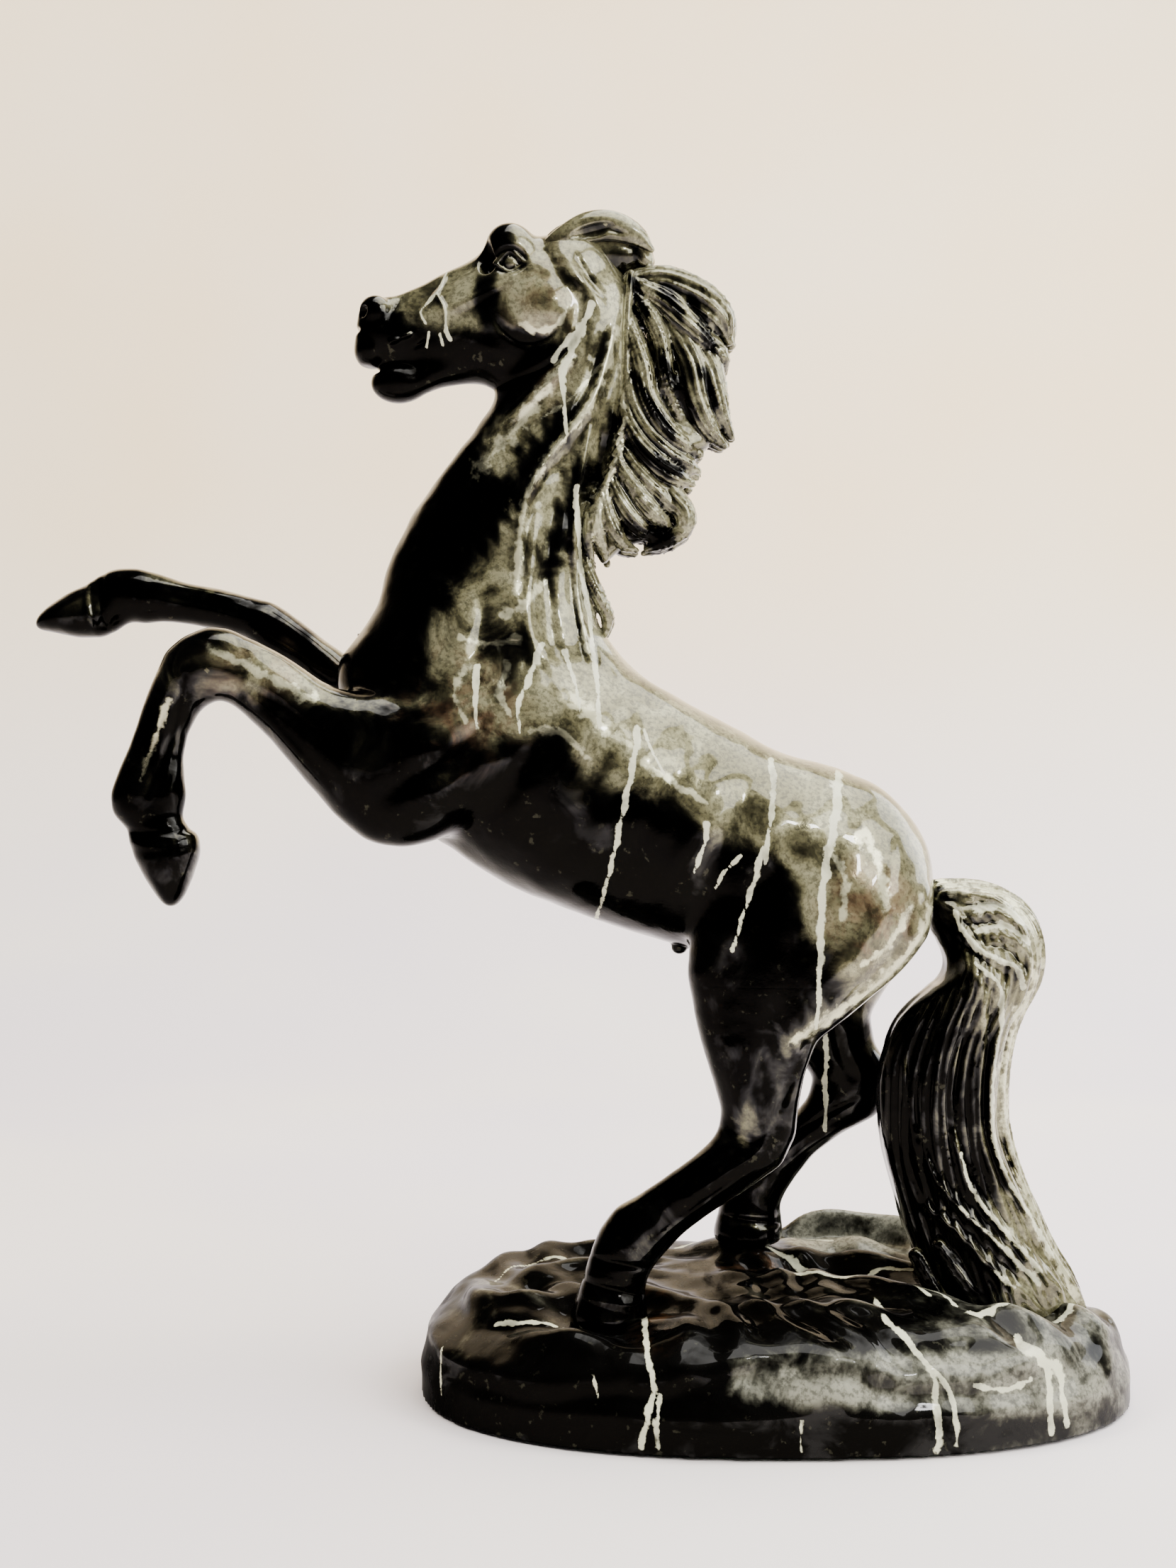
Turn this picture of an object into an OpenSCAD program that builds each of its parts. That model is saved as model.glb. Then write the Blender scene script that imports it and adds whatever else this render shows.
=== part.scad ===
// Rearing horse statue on a rocky oval base: cast bronze sections pinned
// together and held down by studs. Millimetres, +Z up, the horse faces -X.
// Origin: centre of the flat underside of the felt pad.

/* [Base] */
// Length of the oval base along X
base_length = 256; // [250:1:310]
// Depth of the oval base along Y
base_depth = 142; // [124:1:180]
// Height of the rock surface at the middle of the base
base_height = 40; // [36:1:48]
// Rise of the rock surface towards the far side, per mm of depth
rock_slope = 0.27; // [0.2:0.01:0.3]
// Depth of the waves carved in the rock surface
rock_wave = 1.6; // [0:0.1:2.4]
// Wall of the hollow base casting
base_wall = 7; // [5:0.5:9]
// Rim of the base casting outside the cover plate
rim_width = 5; // [4:0.5:7]
// Thickness of the cover plate
cover_thickness = 2.5; // [2:0.1:4]
// Thickness of the felt pad
felt_thickness = 1.5; // [1:0.1:3]
// How far the felt stays inside the outline of the base
felt_inset = 3; // [1:0.5:5]

/* [Horse] */
// Width of the barrel of the horse, which every section follows
body_width = 70; // [58:1:86]
// Wall of the hollow torso and neck castings
shell_wall = 6; // [4.5:0.5:8]
// Depth of the grooves between the locks of the tail
tail_groove = 0.07; // [0:0.01:0.12]
// Depth of the grooves between the locks of the mane
mane_groove = 0.22; // [0:0.01:0.3]
// Height of the sole of the near hind hoof
near_sole = 31.5; // [30:0.5:33]
// Height of the sole of the far hind hoof
off_sole = 46; // [44:0.5:48]
// Height of the foot of the tail
tail_sole = 26; // [25.5:0.5:28]

/* [Fixings] */
// Diameter of the dowels between the large castings
dowel_d = 5; // [4:0.5:6]
// Depth of a dowel in each casting
dowel_reach = 9; // [7:0.5:11]
// Diameter of the small pins of the ears and the mane
pin_d = 3; // [2.4:0.2:3.6]
// Depth of a small pin on each side of its joint
pin_reach = 5; // [4:0.5:6]
// Gap round a dowel, pin or stud in its hole
pin_gap = 0.05; // [0.02:0.01:0.1]
// Diameter of the studs that hold the hooves and tail to the base
stud_d = 6; // [5:0.5:8]
// Height a stud rises above the sole it holds
stud_rise = 10; // [8:0.5:12]
// Thickness of metal between a sole and its washer
stud_grip = 13; // [12:0.5:15]
// Diameter of the washers
washer_d = 13; // [12:0.5:16]
// Thickness of the washers
washer_t = 1.2; // [1:0.1:2]
// Width across flats of the nuts
nut_flats = 10; // [9.5:0.5:12]
// Height of the nuts
nut_t = 4.5; // [4:0.5:5]
// Diameter of the cover screws
screw_d = 4; // [3:0.5:5]
// Length of the cover screws from head face to tip
screw_length = 12; // [10:1:14]
// Number of cover screws
screw_count = 6; // [4:2:8]

/* [Detail] */
// Faces round a large casting
body_sides = 24; // [16:2:28]
// Faces round a leg
leg_sides = 14; // [10:2:18]

/* [Hidden] */
$fn = 40;
far = 400;
side = body_width / 70;
half_length = base_length / 2;
half_depth = base_depth / 2;
cover_top = felt_thickness + cover_thickness;
cover_gap = 0.3;
screw_inset = rim_width + 7;
screw_head_d = 2 * screw_d;
screw_slot = 0.8;
core_hole_d = 24;
boss_d = screw_d + 7;
stud_boss_d = washer_d + 3;
spot_face_d = washer_d + 1;
stud_drop = stud_grip + washer_t + nut_t + 2;
oval_power = 0.86;
oval_sides = 44;
ear_sides = 10;
tail_sides = 28;
tail_ribs = 7;
bronze = [0.16, 0.15, 0.12];
steel = [0.72, 0.73, 0.75];
felt_green = [0.12, 0.22, 0.15];

// Each section is a run of rings: [x, z of one rail, x, z of the other rail,
// y of the ring centre, half width of the ring].
torso_rings = [
    [-60, 274, -160, 266, 0, 26], [-52, 264, -158, 244, 0, 30],
    [-43, 258, -150, 224, 0, 34], [-33, 252, -134, 208, 0, 35],
    [-22, 246, -116, 195, 0, 35], [-11, 240, -98, 184, 0, 35],
    [1, 233, -80, 176, 0, 34], [12, 230, -60, 169, 0, 33],
    [24, 227, -38, 162, 0, 33], [35, 222, -20, 158, 0, 33],
    [46, 214, 0, 152, 0, 32], [54, 204, 18, 148, 0, 30],
    [58, 193, 32, 148, 0, 26], [59, 181, 44, 151, 0, 19],
    [56, 170, 51, 158, 0, 9]];
neck_rings = [
    [-160, 266, -60, 274, 0, 26], [-146, 284, -66, 288, 0, 24],
    [-142, 298, -67, 302, 0, 22], [-136, 312, -63, 316, 0, 21],
    [-128, 326, -58, 331, 0, 20], [-118, 339, -54, 346, 0, 19],
    [-108, 352, -50, 364, 0, 18], [-99, 366, -49, 382, 0, 17.5],
    [-93, 380, -51, 399, 0, 16.5], [-88, 394, -57, 412, 0, 14]];
face_rings = [
    [-151, 395, -153, 380, 0, 5], [-149, 398, -150, 376, 0, 8],
    [-144, 399, -144, 374, 0, 9.5], [-137, 400, -137, 373, 0, 8.5],
    [-128, 404, -129, 373, 0, 9], [-118, 409, -119, 370, 0, 11],
    [-108, 415, -109, 367, 0, 14], [-100, 422, -100, 365, 0, 16.5],
    [-93, 424, -90, 366, 0, 17.5], [-86, 421, -81, 371, 0, 18],
    [-77, 424, -74, 378, 0, 17], [-68, 424, -66, 386, 0, 14],
    [-60, 419, -58, 394, 0, 9]];
jaw_rings = [
    [-146, 370, -147, 365, 0, 3], [-142, 372, -143, 362, 0, 6],
    [-136, 373, -136, 360, 0, 7], [-129, 374, -129, 362, 0, 7],
    [-122, 376, -122, 366, 0, 7], [-112, 380, -111, 367, 0, 7]];
ear_rings = [
    [-82, 421, -77, 414, 8, 3], [-74, 427, -69, 416, 9, 5],
    [-65, 430, -62, 418, 9.5, 5], [-56, 429, -56, 421, 9.5, 3.5],
    [-49, 425, -50, 423, 9, 1]];
mane_rings = [
    [-46, 422, -64, 412, 0, 4], [-41, 412, -61, 405, -1, 8],
    [-31, 404, -58, 398, -2, 10], [-19, 395, -57, 390, -2, 11],
    [-14, 385, -57, 382, -2, 12], [-17, 375, -57, 374, -2, 12],
    [-20, 364, -57, 365, -3, 12], [-14, 350, -58, 356, -3, 12],
    [-20, 341, -60, 347, -3, 12], [-28, 332, -63, 338, -3, 11.5],
    [-32, 321, -66, 328, -3, 11], [-35, 309, -69, 317, -2, 10],
    [-53, 303, -73, 307, -1, 8], [-60, 292, -75, 298, -1, 6],
    [-59, 281, -72, 288, 0, 4.5], [-60, 274, -66, 277, 0, 2.5]];
tail_rings = [
    [57.5, 186, 57.5, 167, 0, 8], [66, 186, 61, 162, 0, 10],
    [76, 185, 63, 156, -1, 12], [87, 181, 62, 151, -2, 14],
    [95, 173, 57, 147, -4, 15], [98, 161, 50, 142, -5, 16],
    [97, 149, 43, 134, -5, 16], [91, 138, 39, 124, -5, 15],
    [87, 127, 37, 114, -5, 15], [85, 112, 37, 101, -5, 15],
    [85, 98, 38, 89, -4, 16], [88, 86, 41, 79, -3, 17],
    [92, 75, 44, 68, -2, 18], [97, 64, 47, 58, -1, 19],
    [102, 53, 51, 49, 0, 20], [109, 42, 53, 41, 0, 21],
    [113, 30, 52, 30, 0, 22], [114, 20, 52, 20, 0, 22]];
near_fore_rings = [
    [-96, 248, -94, 218, -14, 12], [-110, 251, -108, 206, -17, 14],
    [-124, 252, -121, 199, -20, 15], [-137, 253, -134, 196, -22, 14.5],
    [-150, 254, -146, 199, -22, 14],
    [-158, 256, -158, 210, -22, 13], [-167, 261, -168, 221, -22, 12],
    [-175, 266, -179, 235, -22, 11], [-184, 271, -189, 245, -22, 10],
    [-194, 276, -194, 249, -22, 9.5], [-202, 277, -198, 250, -22, 10],
    [-211, 273, -201, 249, -22, 10], [-217, 268, -204, 247, -22, 9.5],
    [-220, 261, -207, 243, -22, 8.5], [-224, 252, -209, 239, -22, 7.5],
    [-227, 243, -210, 234, -22, 7], [-230, 234, -211, 229, -22, 7],
    [-234, 225, -210, 223, -22, 8], [-237, 217, -209, 217, -22, 8.5],
    [-236, 210, -210, 212, -22, 8], [-231, 205, -211, 208, -22, 7.5],
    [-230, 201, -205, 203, -22, 9], [-228, 194, -204, 197, -22, 10],
    [-224, 187, -207, 188, -22, 9], [-220, 181, -210, 181, -22, 6.5],
    [-217, 177, -213, 177, -22, 3]];
off_fore_rings = [
    [-96, 248, -94, 218, 14, 12], [-112, 250, -110, 208, 17, 14],
    [-128, 253, -126, 208, 20, 14],
    [-144, 259, -140, 222, 21, 13], [-153, 265, -149, 235, 22, 12],
    [-162, 272, -157, 247, 22, 11], [-171, 279, -168, 254, 22, 10],
    [-179, 285, -179, 264, 22, 9.5], [-187, 290, -190, 270, 22, 9.5],
    [-196, 292, -198, 276, 22, 9], [-207, 295, -208, 279, 22, 8],
    [-219, 297, -219, 281, 22, 7], [-231, 301, -229, 282, 22, 7.5],
    [-239, 303, -236, 281, 22, 8.5], [-246, 303, -240, 282, 22, 8.5],
    [-252, 301, -243, 281, 22, 8], [-257, 297, -245, 279, 22, 8],
    [-264, 294, -251, 276, 22, 9.5], [-270, 290, -261, 276, 22, 9],
    [-275, 286, -270, 278, 22, 6.5], [-278, 282, -277, 279, 22, 3]];
near_hind_rings = [
    [-16, 204, 50, 196, -18, 12], [-26, 188, 57, 182, -19, 16],
    [-33, 170, 55, 167, -20, 17], [-34, 154, 44, 153, -21, 16],
    [-31, 140, 27, 140, -22, 14], [-28, 129, 14, 130, -23, 12.5],
    [-24, 117, 9, 118, -24, 11], [-21, 106, 7, 108, -25, 10],
    [-22, 99, 6, 97, -25, 9.5], [-25, 95, 1, 87, -26, 9],
    [-32, 89, -12, 78, -27, 8.5], [-41, 83, -25, 70, -28, 8],
    [-50, 77, -34, 63, -28, 7.5], [-58, 73, -40, 57, -29, 8],
    [-64, 65, -45, 51, -29, 9], [-67, 57, -47, 46, -29, 9],
    [-70, 47, -47, 40, -29, 10], [-74, 36, -46, 34, -29, 12],
    [-75, 30, -46, 29, -29, 12.5]];
off_hind_rings = [
    [-16, 204, 50, 196, 18, 12], [-22, 188, 57, 182, 19, 16],
    [-22, 170, 57, 167, 20, 17], [-17, 153, 54, 154, 21, 16],
    [-11, 141, 47, 144, 22, 14], [-3, 130, 40, 133, 23, 12.5],
    [6, 121, 42, 122, 24, 11.5], [14, 114, 48, 113, 25, 10.5],
    [18, 109, 49, 102, 25, 10], [16, 101, 42, 94, 25, 9.5],
    [11, 95, 30, 88, 25, 8.5], [3, 88, 19, 80, 25, 8],
    [-5, 79, 12, 71, 25, 7.5], [-12, 72, 8, 65, 25, 8],
    [-16, 64, 6, 60, 26, 9], [-18, 58, 7, 54, 26, 10.5],
    [-20, 50, 7, 49, 26, 12], [-20, 44, 7, 43, 26, 12.5]];

// Joint planes: [x, z of a point on the plane, tilt from level].
neck_joint = [-110, 270, 4.6];
head_joint = [-78, 362.5, 18];
near_fore_joint = [-149, 226, 90];
off_fore_joint = [-150, 251, 52];
hind_joint = [0, 150, 0];
tail_joint = [57.5, 176, -90];

// Places of the dowels on the joint planes: distance along the plane.
neck_dowel_at = [-39, 40];
head_dowel_at = [-12, 14];
near_fore_dowel_at = [-9, 9];
off_fore_dowel_at = [-5, 5];
near_hind_dowel_at = [-14, 14];
off_hind_dowel_at = [4, 32];
fore_dowel_y = 22 * side;
hind_dowel_y = 21 * side;

// Places of the studs: [x, y, height of the sole].
stud_at = [[-60, -29 * side, near_sole], [-7, 26 * side, off_sole],
    [80, 0, tail_sole]];
tail_boss = [38, 26];
hoof_boss = [18, 15];

// Places of the small pins: [x, z] of the middle of each pin.
mane_pin_at = [[-50, 388], [-53, 350], [-60, 324]];
ear_pin_at = [-70, 420];
ear_y = 9 * side;

// Outline of the rock from rim to top: [share of the oval, share of height].
rock_profile = [[1, 0], [1, 0.25], [0.995, 0.4], [0.975, 0.55],
    [0.93, 0.7], [0.86, 0.83], [0.76, 0.92], [0.62, 0.975], [0.44, 1],
    [0.24, 1], [0.04, 1]];

// Smooth curve through a row of rings.
function blend(a, b, c, d, t) = 0.5 * (2 * b + (c - a) * t
    + (2 * a - 5 * b + 4 * c - d) * t * t
    + (3 * b - a - 3 * c + d) * t * t * t);
function pick(rows, i) = rows[max(0, min(len(rows) - 1, i))];
function smooth(rows, steps) = [
    for (i = [0 : len(rows) - 2]) for (k = [0 : steps - 1])
        blend(pick(rows, i - 1), rows[i], rows[i + 1], pick(rows, i + 2),
            k / steps),
    rows[len(rows) - 1]];

// One ring of points: an ellipse spanned by its rail and the Y axis.
function middle(r) = [(r[0] + r[2]) / 2, r[4] * side, (r[1] + r[3]) / 2];
function rail(r) = [(r[0] - r[2]) / 2, 0, (r[1] - r[3]) / 2];
function ring(r, sides, ribs, depth) = [
    for (k = [0 : sides - 1])
        let (a = 360 * k / sides, grow = 1 + depth * cos(ribs * a))
            middle(r) + rail(r) * cos(a) * grow
                + [0, r[5] * side * sin(a) * grow, 0]];
function inset_ring(r, wall) = let (
    v = rail(r) * (1 - wall / norm(rail(r))),
    c = middle(r))
    [c[0] + v[0], c[2] + v[2], c[0] - v[0], c[2] - v[2], r[4],
        r[5] - wall / side];
function inset_rows(rows, first, last, wall) =
    [for (i = [first : last]) inset_ring(rows[i], wall)];
function ribbed_row(r, i, depth) = [r[0], r[1], r[2], r[3], r[4],
    r[5] * (1 + (i % 2 == 0 ? depth : -depth))];
function ribbed_rows(rows, depth) =
    [for (i = [0 : len(rows) - 1]) ribbed_row(rows[i], i, depth)];
function across(r) = [r[0], r[1], r[2], r[3], -r[4], r[5]];
function turned(rows) = let (
    m = floor(len(rows) / 2),
    d = middle(rows[m]) - middle(rows[m - 1]))
    cross(rail(rows[m]), [0, 1, 0]) * d > 0;

// Faces that close a stack of rings, in the order that faces outwards.
function wound(face, flip) = flip
    ? [for (i = [len(face) - 1 : -1 : 0]) face[i]] : face;
function skin(count, sides, flip) = concat(
    [wound([for (k = [0 : sides - 1]) k], !flip)],
    [wound([for (k = [0 : sides - 1]) (count - 1) * sides + k], flip)],
    [for (i = [0 : count - 2]) for (k = [0 : sides - 1])
        let (n = (k + 1) % sides, a = i * sides, b = a + sides)
            wound([a + k, a + n, b + n], flip)],
    [for (i = [0 : count - 2]) for (k = [0 : sides - 1])
        let (n = (k + 1) % sides, a = i * sides, b = a + sides)
            wound([a + k, b + n, b + k], flip)]);

// Oval outline of the base, drawn in from its edge by inset.
function bent(v) = sign(v) * pow(abs(v), oval_power);
function oval_point(a, inset) = [(half_length - inset) * bent(cos(a)),
    (half_depth - inset) * bent(sin(a))];
function oval(inset) =
    [for (k = [0 : oval_sides - 1]) oval_point(360 * k / oval_sides, inset)];

// Height of the rock surface.
function rock(x, y) = base_height + rock_slope * y
    - pow(max(0, x - 30), 2) / 900 + rock_wave * sin(4 * x + 5 * y);
function rock_point(p, level, drop, foot) = [p[0] * level[0],
    p[1] * level[0],
    level[0] < 0.1 ? base_height - drop
        : foot + (rock(p[0] * level[0], p[1] * level[0]) - drop - foot)
            * level[1]];

module loft(rows, sides, steps, ribs = 0, depth = 0) {
    all_rings = smooth(rows, steps);
    polyhedron(
        points = [for (r = all_rings) each ring(r, sides, ribs, depth)],
        faces = skin(len(all_rings), sides, turned(rows)),
        convexity = 6);
}
module dome(inset, drop, foot) {
    polyhedron(
        points = [for (level = rock_profile) for (p = oval(inset))
            rock_point(p, level, drop, foot)],
        faces = skin(len(rock_profile), oval_sides, true),
        convexity = 6);
}

// Everything above a tilted joint plane, and a pin standing across it.
module above(plane) {
    translate([plane[0], 0, plane[1]])
        rotate([0, -plane[2], 0])
            translate([-far, -far, 0])
                cube([2 * far, 2 * far, far]);
}
module joint_pin(plane, along, y, d) {
    translate([plane[0], 0, plane[1]])
        rotate([0, -plane[2], 0])
            translate([along, y, -dowel_reach])
                cylinder(d = d, h = 2 * dowel_reach);
}
module level_cut(z) {
    translate([-far, -far, z])
        cube([2 * far, 2 * far, far]);
}

// The pins, drawn bigger by grow where they cut their own sockets.
module neck_pins(grow) {
    for (a = neck_dowel_at)
        joint_pin(neck_joint, a, 0, dowel_d + grow);
}
module head_pins(grow) {
    for (a = head_dowel_at)
        joint_pin(head_joint, a, 0, dowel_d + grow);
}
module foreleg_pins(grow) {
    for (a = near_fore_dowel_at)
        joint_pin(near_fore_joint, a, -fore_dowel_y, dowel_d + grow);
    for (a = off_fore_dowel_at)
        joint_pin(off_fore_joint, a, fore_dowel_y, dowel_d + grow);
}
module hindleg_pins(grow) {
    for (a = near_hind_dowel_at)
        joint_pin(hind_joint, a, -hind_dowel_y, dowel_d + grow);
    for (a = off_hind_dowel_at)
        joint_pin(hind_joint, a, hind_dowel_y, dowel_d + grow);
}
module tail_pin(grow) {
    joint_pin(tail_joint, 0, 0, dowel_d + grow);
}
module mane_pin_set(grow) {
    for (p = mane_pin_at)
        translate([p[0] - pin_reach, 0, p[1]])
            rotate([0, 90, 0])
                cylinder(d = pin_d + grow, h = 2 * pin_reach);
}
module ear_pin_set(grow) {
    for (s = [-1, 1])
        translate([ear_pin_at[0], s * ear_y, ear_pin_at[1] - pin_reach])
            cylinder(d = 0.8 * pin_d + grow, h = 2 * pin_reach);
}
module stud_set(grow) {
    for (p = stud_at)
        translate([p[0], p[1], p[2] - stud_drop])
            cylinder(d = stud_d + grow, h = stud_drop + stud_rise);
}
module at_screws() {
    for (k = [0 : screw_count - 1])
        let (p = oval_point(360 * (k + 0.5) / screw_count, screw_inset))
            translate([p[0], p[1], felt_thickness])
                children();
}

// The uncut shapes of the animal.
module torso_form() {
    loft(torso_rings, body_sides, 2);
}
module neck_form() {
    loft(neck_rings, body_sides, 2);
}
module head_form() {
    loft(face_rings, body_sides, 2);
    loft(jaw_rings, leg_sides, 2);
    intersection() {
        neck_form();
        above(head_joint);
    }
}
module near_ear_form() {
    loft([for (r = ear_rings) across(r)], ear_sides, 2);
}
module off_ear_form() {
    loft(ear_rings, ear_sides, 2);
}
module mane_form() {
    loft(ribbed_rows(mane_rings, mane_groove), body_sides, 2);
}
module near_fore_form() {
    loft(near_fore_rings, leg_sides, 1);
}
module off_fore_form() {
    loft(off_fore_rings, leg_sides, 1);
}
module near_hind_form() {
    loft(near_hind_rings, leg_sides, 1);
}
module off_hind_form() {
    loft(off_hind_rings, leg_sides, 1);
}
module tail_form() {
    loft(tail_rings, tail_sides, 2, tail_ribs, tail_groove);
}
module core_hole() {
    translate([neck_joint[0], 0, neck_joint[1]])
        rotate([0, -neck_joint[2], 0])
            translate([0, 0, -core_hole_d])
                cylinder(d = core_hole_d, h = 2 * core_hole_d);
}

// The castings of the animal.
module torso_casting() {
    color(bronze)
        difference() {
            resize([0, 0, 0])
                difference() {
                    union() {
                        torso_form();
                        difference() {
                            near_fore_form();
                            above(near_fore_joint);
                        }
                        difference() {
                            off_fore_form();
                            above(off_fore_joint);
                        }
                        intersection() {
                            union() {
                                near_hind_form();
                                off_hind_form();
                            }
                            level_cut(hind_joint[1]);
                        }
                    }
                    loft(inset_rows(torso_rings, 1, 9, shell_wall),
                        leg_sides, 2);
                    core_hole();
                    above(neck_joint);
                    above(tail_joint);
                }
            neck_pins(2 * pin_gap);
            foreleg_pins(2 * pin_gap);
            hindleg_pins(2 * pin_gap);
            tail_pin(2 * pin_gap);
        }
}
module neck_casting() {
    color(bronze)
        difference() {
            resize([0, 0, 0])
                difference() {
                    neck_form();
                    loft(inset_rows(neck_rings, 1, 5, shell_wall),
                        leg_sides, 2);
                    core_hole();
                    above(head_joint);
                }
            neck_pins(2 * pin_gap);
            head_pins(2 * pin_gap);
            mane_pin_set(2 * pin_gap);
        }
}
module head_casting() {
    color(bronze)
        difference() {
            resize([0, 0, 0])
                head_form();
            head_pins(2 * pin_gap);
            mane_pin_set(2 * pin_gap);
            ear_pin_set(2 * pin_gap);
        }
}
module near_ear() {
    color(bronze)
        difference() {
            resize([0, 0, 0])
                difference() {
                    near_ear_form();
                    head_form();
                }
            ear_pin_set(2 * pin_gap);
        }
}
module off_ear() {
    color(bronze)
        difference() {
            resize([0, 0, 0])
                difference() {
                    off_ear_form();
                    head_form();
                }
            ear_pin_set(2 * pin_gap);
        }
}
module mane_casting() {
    color(bronze)
        difference() {
            resize([0, 0, 0])
                difference() {
                    mane_form();
                    neck_form();
                    head_form();
                    torso_form();
                    near_ear_form();
                    off_ear_form();
                }
            mane_pin_set(2 * pin_gap);
        }
}
module near_foreleg() {
    color(bronze)
        difference() {
            resize([0, 0, 0])
                difference() {
                    intersection() {
                        near_fore_form();
                        above(near_fore_joint);
                    }
                    torso_form();
                }
            foreleg_pins(2 * pin_gap);
        }
}
module off_foreleg() {
    color(bronze)
        difference() {
            resize([0, 0, 0])
                difference() {
                    intersection() {
                        off_fore_form();
                        above(off_fore_joint);
                    }
                    torso_form();
                    neck_form();
                }
            foreleg_pins(2 * pin_gap);
        }
}
module near_hindleg() {
    color(bronze)
        difference() {
            resize([0, 0, 0])
                intersection() {
                    difference() {
                        near_hind_form();
                        level_cut(hind_joint[1]);
                        torso_form();
                    }
                    level_cut(near_sole);
                }
            hindleg_pins(2 * pin_gap);
            stud_set(2 * pin_gap);
        }
}
module off_hindleg() {
    color(bronze)
        difference() {
            resize([0, 0, 0])
                intersection() {
                    difference() {
                        off_hind_form();
                        level_cut(hind_joint[1]);
                        torso_form();
                    }
                    level_cut(off_sole);
                }
            hindleg_pins(2 * pin_gap);
            stud_set(2 * pin_gap);
        }
}
module tail_casting() {
    color(bronze)
        difference() {
            resize([0, 0, 0])
                intersection() {
                    tail_form();
                    level_cut(tail_sole);
                }
            tail_pin(2 * pin_gap);
            stud_set(2 * pin_gap);
        }
}

// The base and what holds it together.
module standing_forms() {
    intersection() {
        near_hind_form();
        level_cut(near_sole);
    }
    intersection() {
        off_hind_form();
        level_cut(off_sole);
    }
    intersection() {
        tail_form();
        level_cut(tail_sole);
    }
}
module boss(p, size, low, high) {
    translate([p[0], p[1], low])
        scale([size[0], size[1], 1])
            cylinder(r = 1, h = high - low);
}
module pads() {
    boss(stud_at[0], hoof_boss, cover_top, near_sole);
    boss(stud_at[1], hoof_boss, cover_top, off_sole);
    boss(stud_at[2], tail_boss, cover_top, tail_sole);
}
module bosses() {
    for (p = stud_at)
        boss(p, [stud_boss_d / 2, stud_boss_d / 2], p[2] - stud_grip, far);
    boss(stud_at[0], hoof_boss, near_sole - 5, far);
    boss(stud_at[1], hoof_boss, off_sole - 5, far);
    boss(stud_at[2], tail_boss, tail_sole - stud_grip, far);
    at_screws()
        cylinder(d = boss_d, h = far);
}
module spot_faces() {
    for (p = stud_at)
        translate([p[0], p[1], cover_top - 1])
            cylinder(d = spot_face_d, h = p[2] - stud_grip - cover_top + 1);
}
module base_casting() {
    color(bronze)
        difference() {
            resize([0, 0, 0])
                difference() {
                    union() {
                        dome(0, 0, felt_thickness);
                        pads();
                    }
                    difference() {
                        dome(base_wall, base_wall, cover_top);
                        bosses();
                    }
                    translate([0, 0, felt_thickness - 1])
                        linear_extrude(cover_thickness + 1)
                            polygon(oval(rim_width));
                    standing_forms();
                }
            stud_set(2 * pin_gap);
            spot_faces();
            at_screws()
                cylinder(d = screw_d, h = screw_length);
        }
}
module base_cover() {
    color(steel)
        difference() {
            translate([0, 0, felt_thickness])
                linear_extrude(cover_thickness)
                    polygon(oval(rim_width + cover_gap));
            at_screws()
                cylinder(d = screw_d + cover_gap, h = screw_length);
            at_screws()
                screw_head();
        }
}
module screw_head() {
    cylinder(d1 = screw_head_d, d2 = screw_d, h = screw_d / 2);
}
module cover_screws() {
    color(steel)
        at_screws()
            difference() {
                union() {
                    screw_head();
                    cylinder(d = screw_d, h = screw_length);
                }
                translate([-screw_d, -screw_slot / 2, -1])
                    cube([2 * screw_d, screw_slot, 1 + screw_slot]);
            }
}
module felt_pad() {
    color(felt_green)
        linear_extrude(felt_thickness)
            polygon(oval(felt_inset));
}
module neck_dowels() {
    color(steel)
        neck_pins(0);
}
module head_dowels() {
    color(steel)
        head_pins(0);
}
module foreleg_dowels() {
    color(steel)
        foreleg_pins(0);
}
module hindleg_dowels() {
    color(steel)
        hindleg_pins(0);
}
module tail_dowel() {
    color(steel)
        tail_pin(0);
}
module mane_pins() {
    color(steel)
        mane_pin_set(0);
}
module ear_pins() {
    color(steel)
        ear_pin_set(0);
}
module base_studs() {
    color(steel)
        stud_set(0);
}
module stud_washers() {
    color(steel)
        for (p = stud_at)
            translate([p[0], p[1], p[2] - stud_grip - washer_t])
                difference() {
                    cylinder(d = washer_d, h = washer_t);
                    translate([0, 0, -1])
                        cylinder(d = stud_d + cover_gap, h = washer_t + 2);
                }
}
module stud_nuts() {
    color(steel)
        for (p = stud_at)
            translate([p[0], p[1], p[2] - stud_grip - washer_t - nut_t])
                difference() {
                    cylinder(d = nut_flats / cos(30), h = nut_t, $fn = 6);
                    translate([0, 0, -1])
                        cylinder(d = stud_d, h = nut_t + 2);
                }
}

base_casting();
base_cover();
cover_screws();
felt_pad();
torso_casting();
neck_casting();
head_casting();
near_ear();
off_ear();
mane_casting();
near_foreleg();
off_foreleg();
near_hindleg();
off_hindleg();
tail_casting();
neck_dowels();
head_dowels();
foreleg_dowels();
hindleg_dowels();
tail_dowel();
mane_pins();
ear_pins();
base_studs();
stud_washers();
stud_nuts();
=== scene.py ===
"""Looks of the rearing horse statue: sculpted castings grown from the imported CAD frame."""
import math

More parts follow.
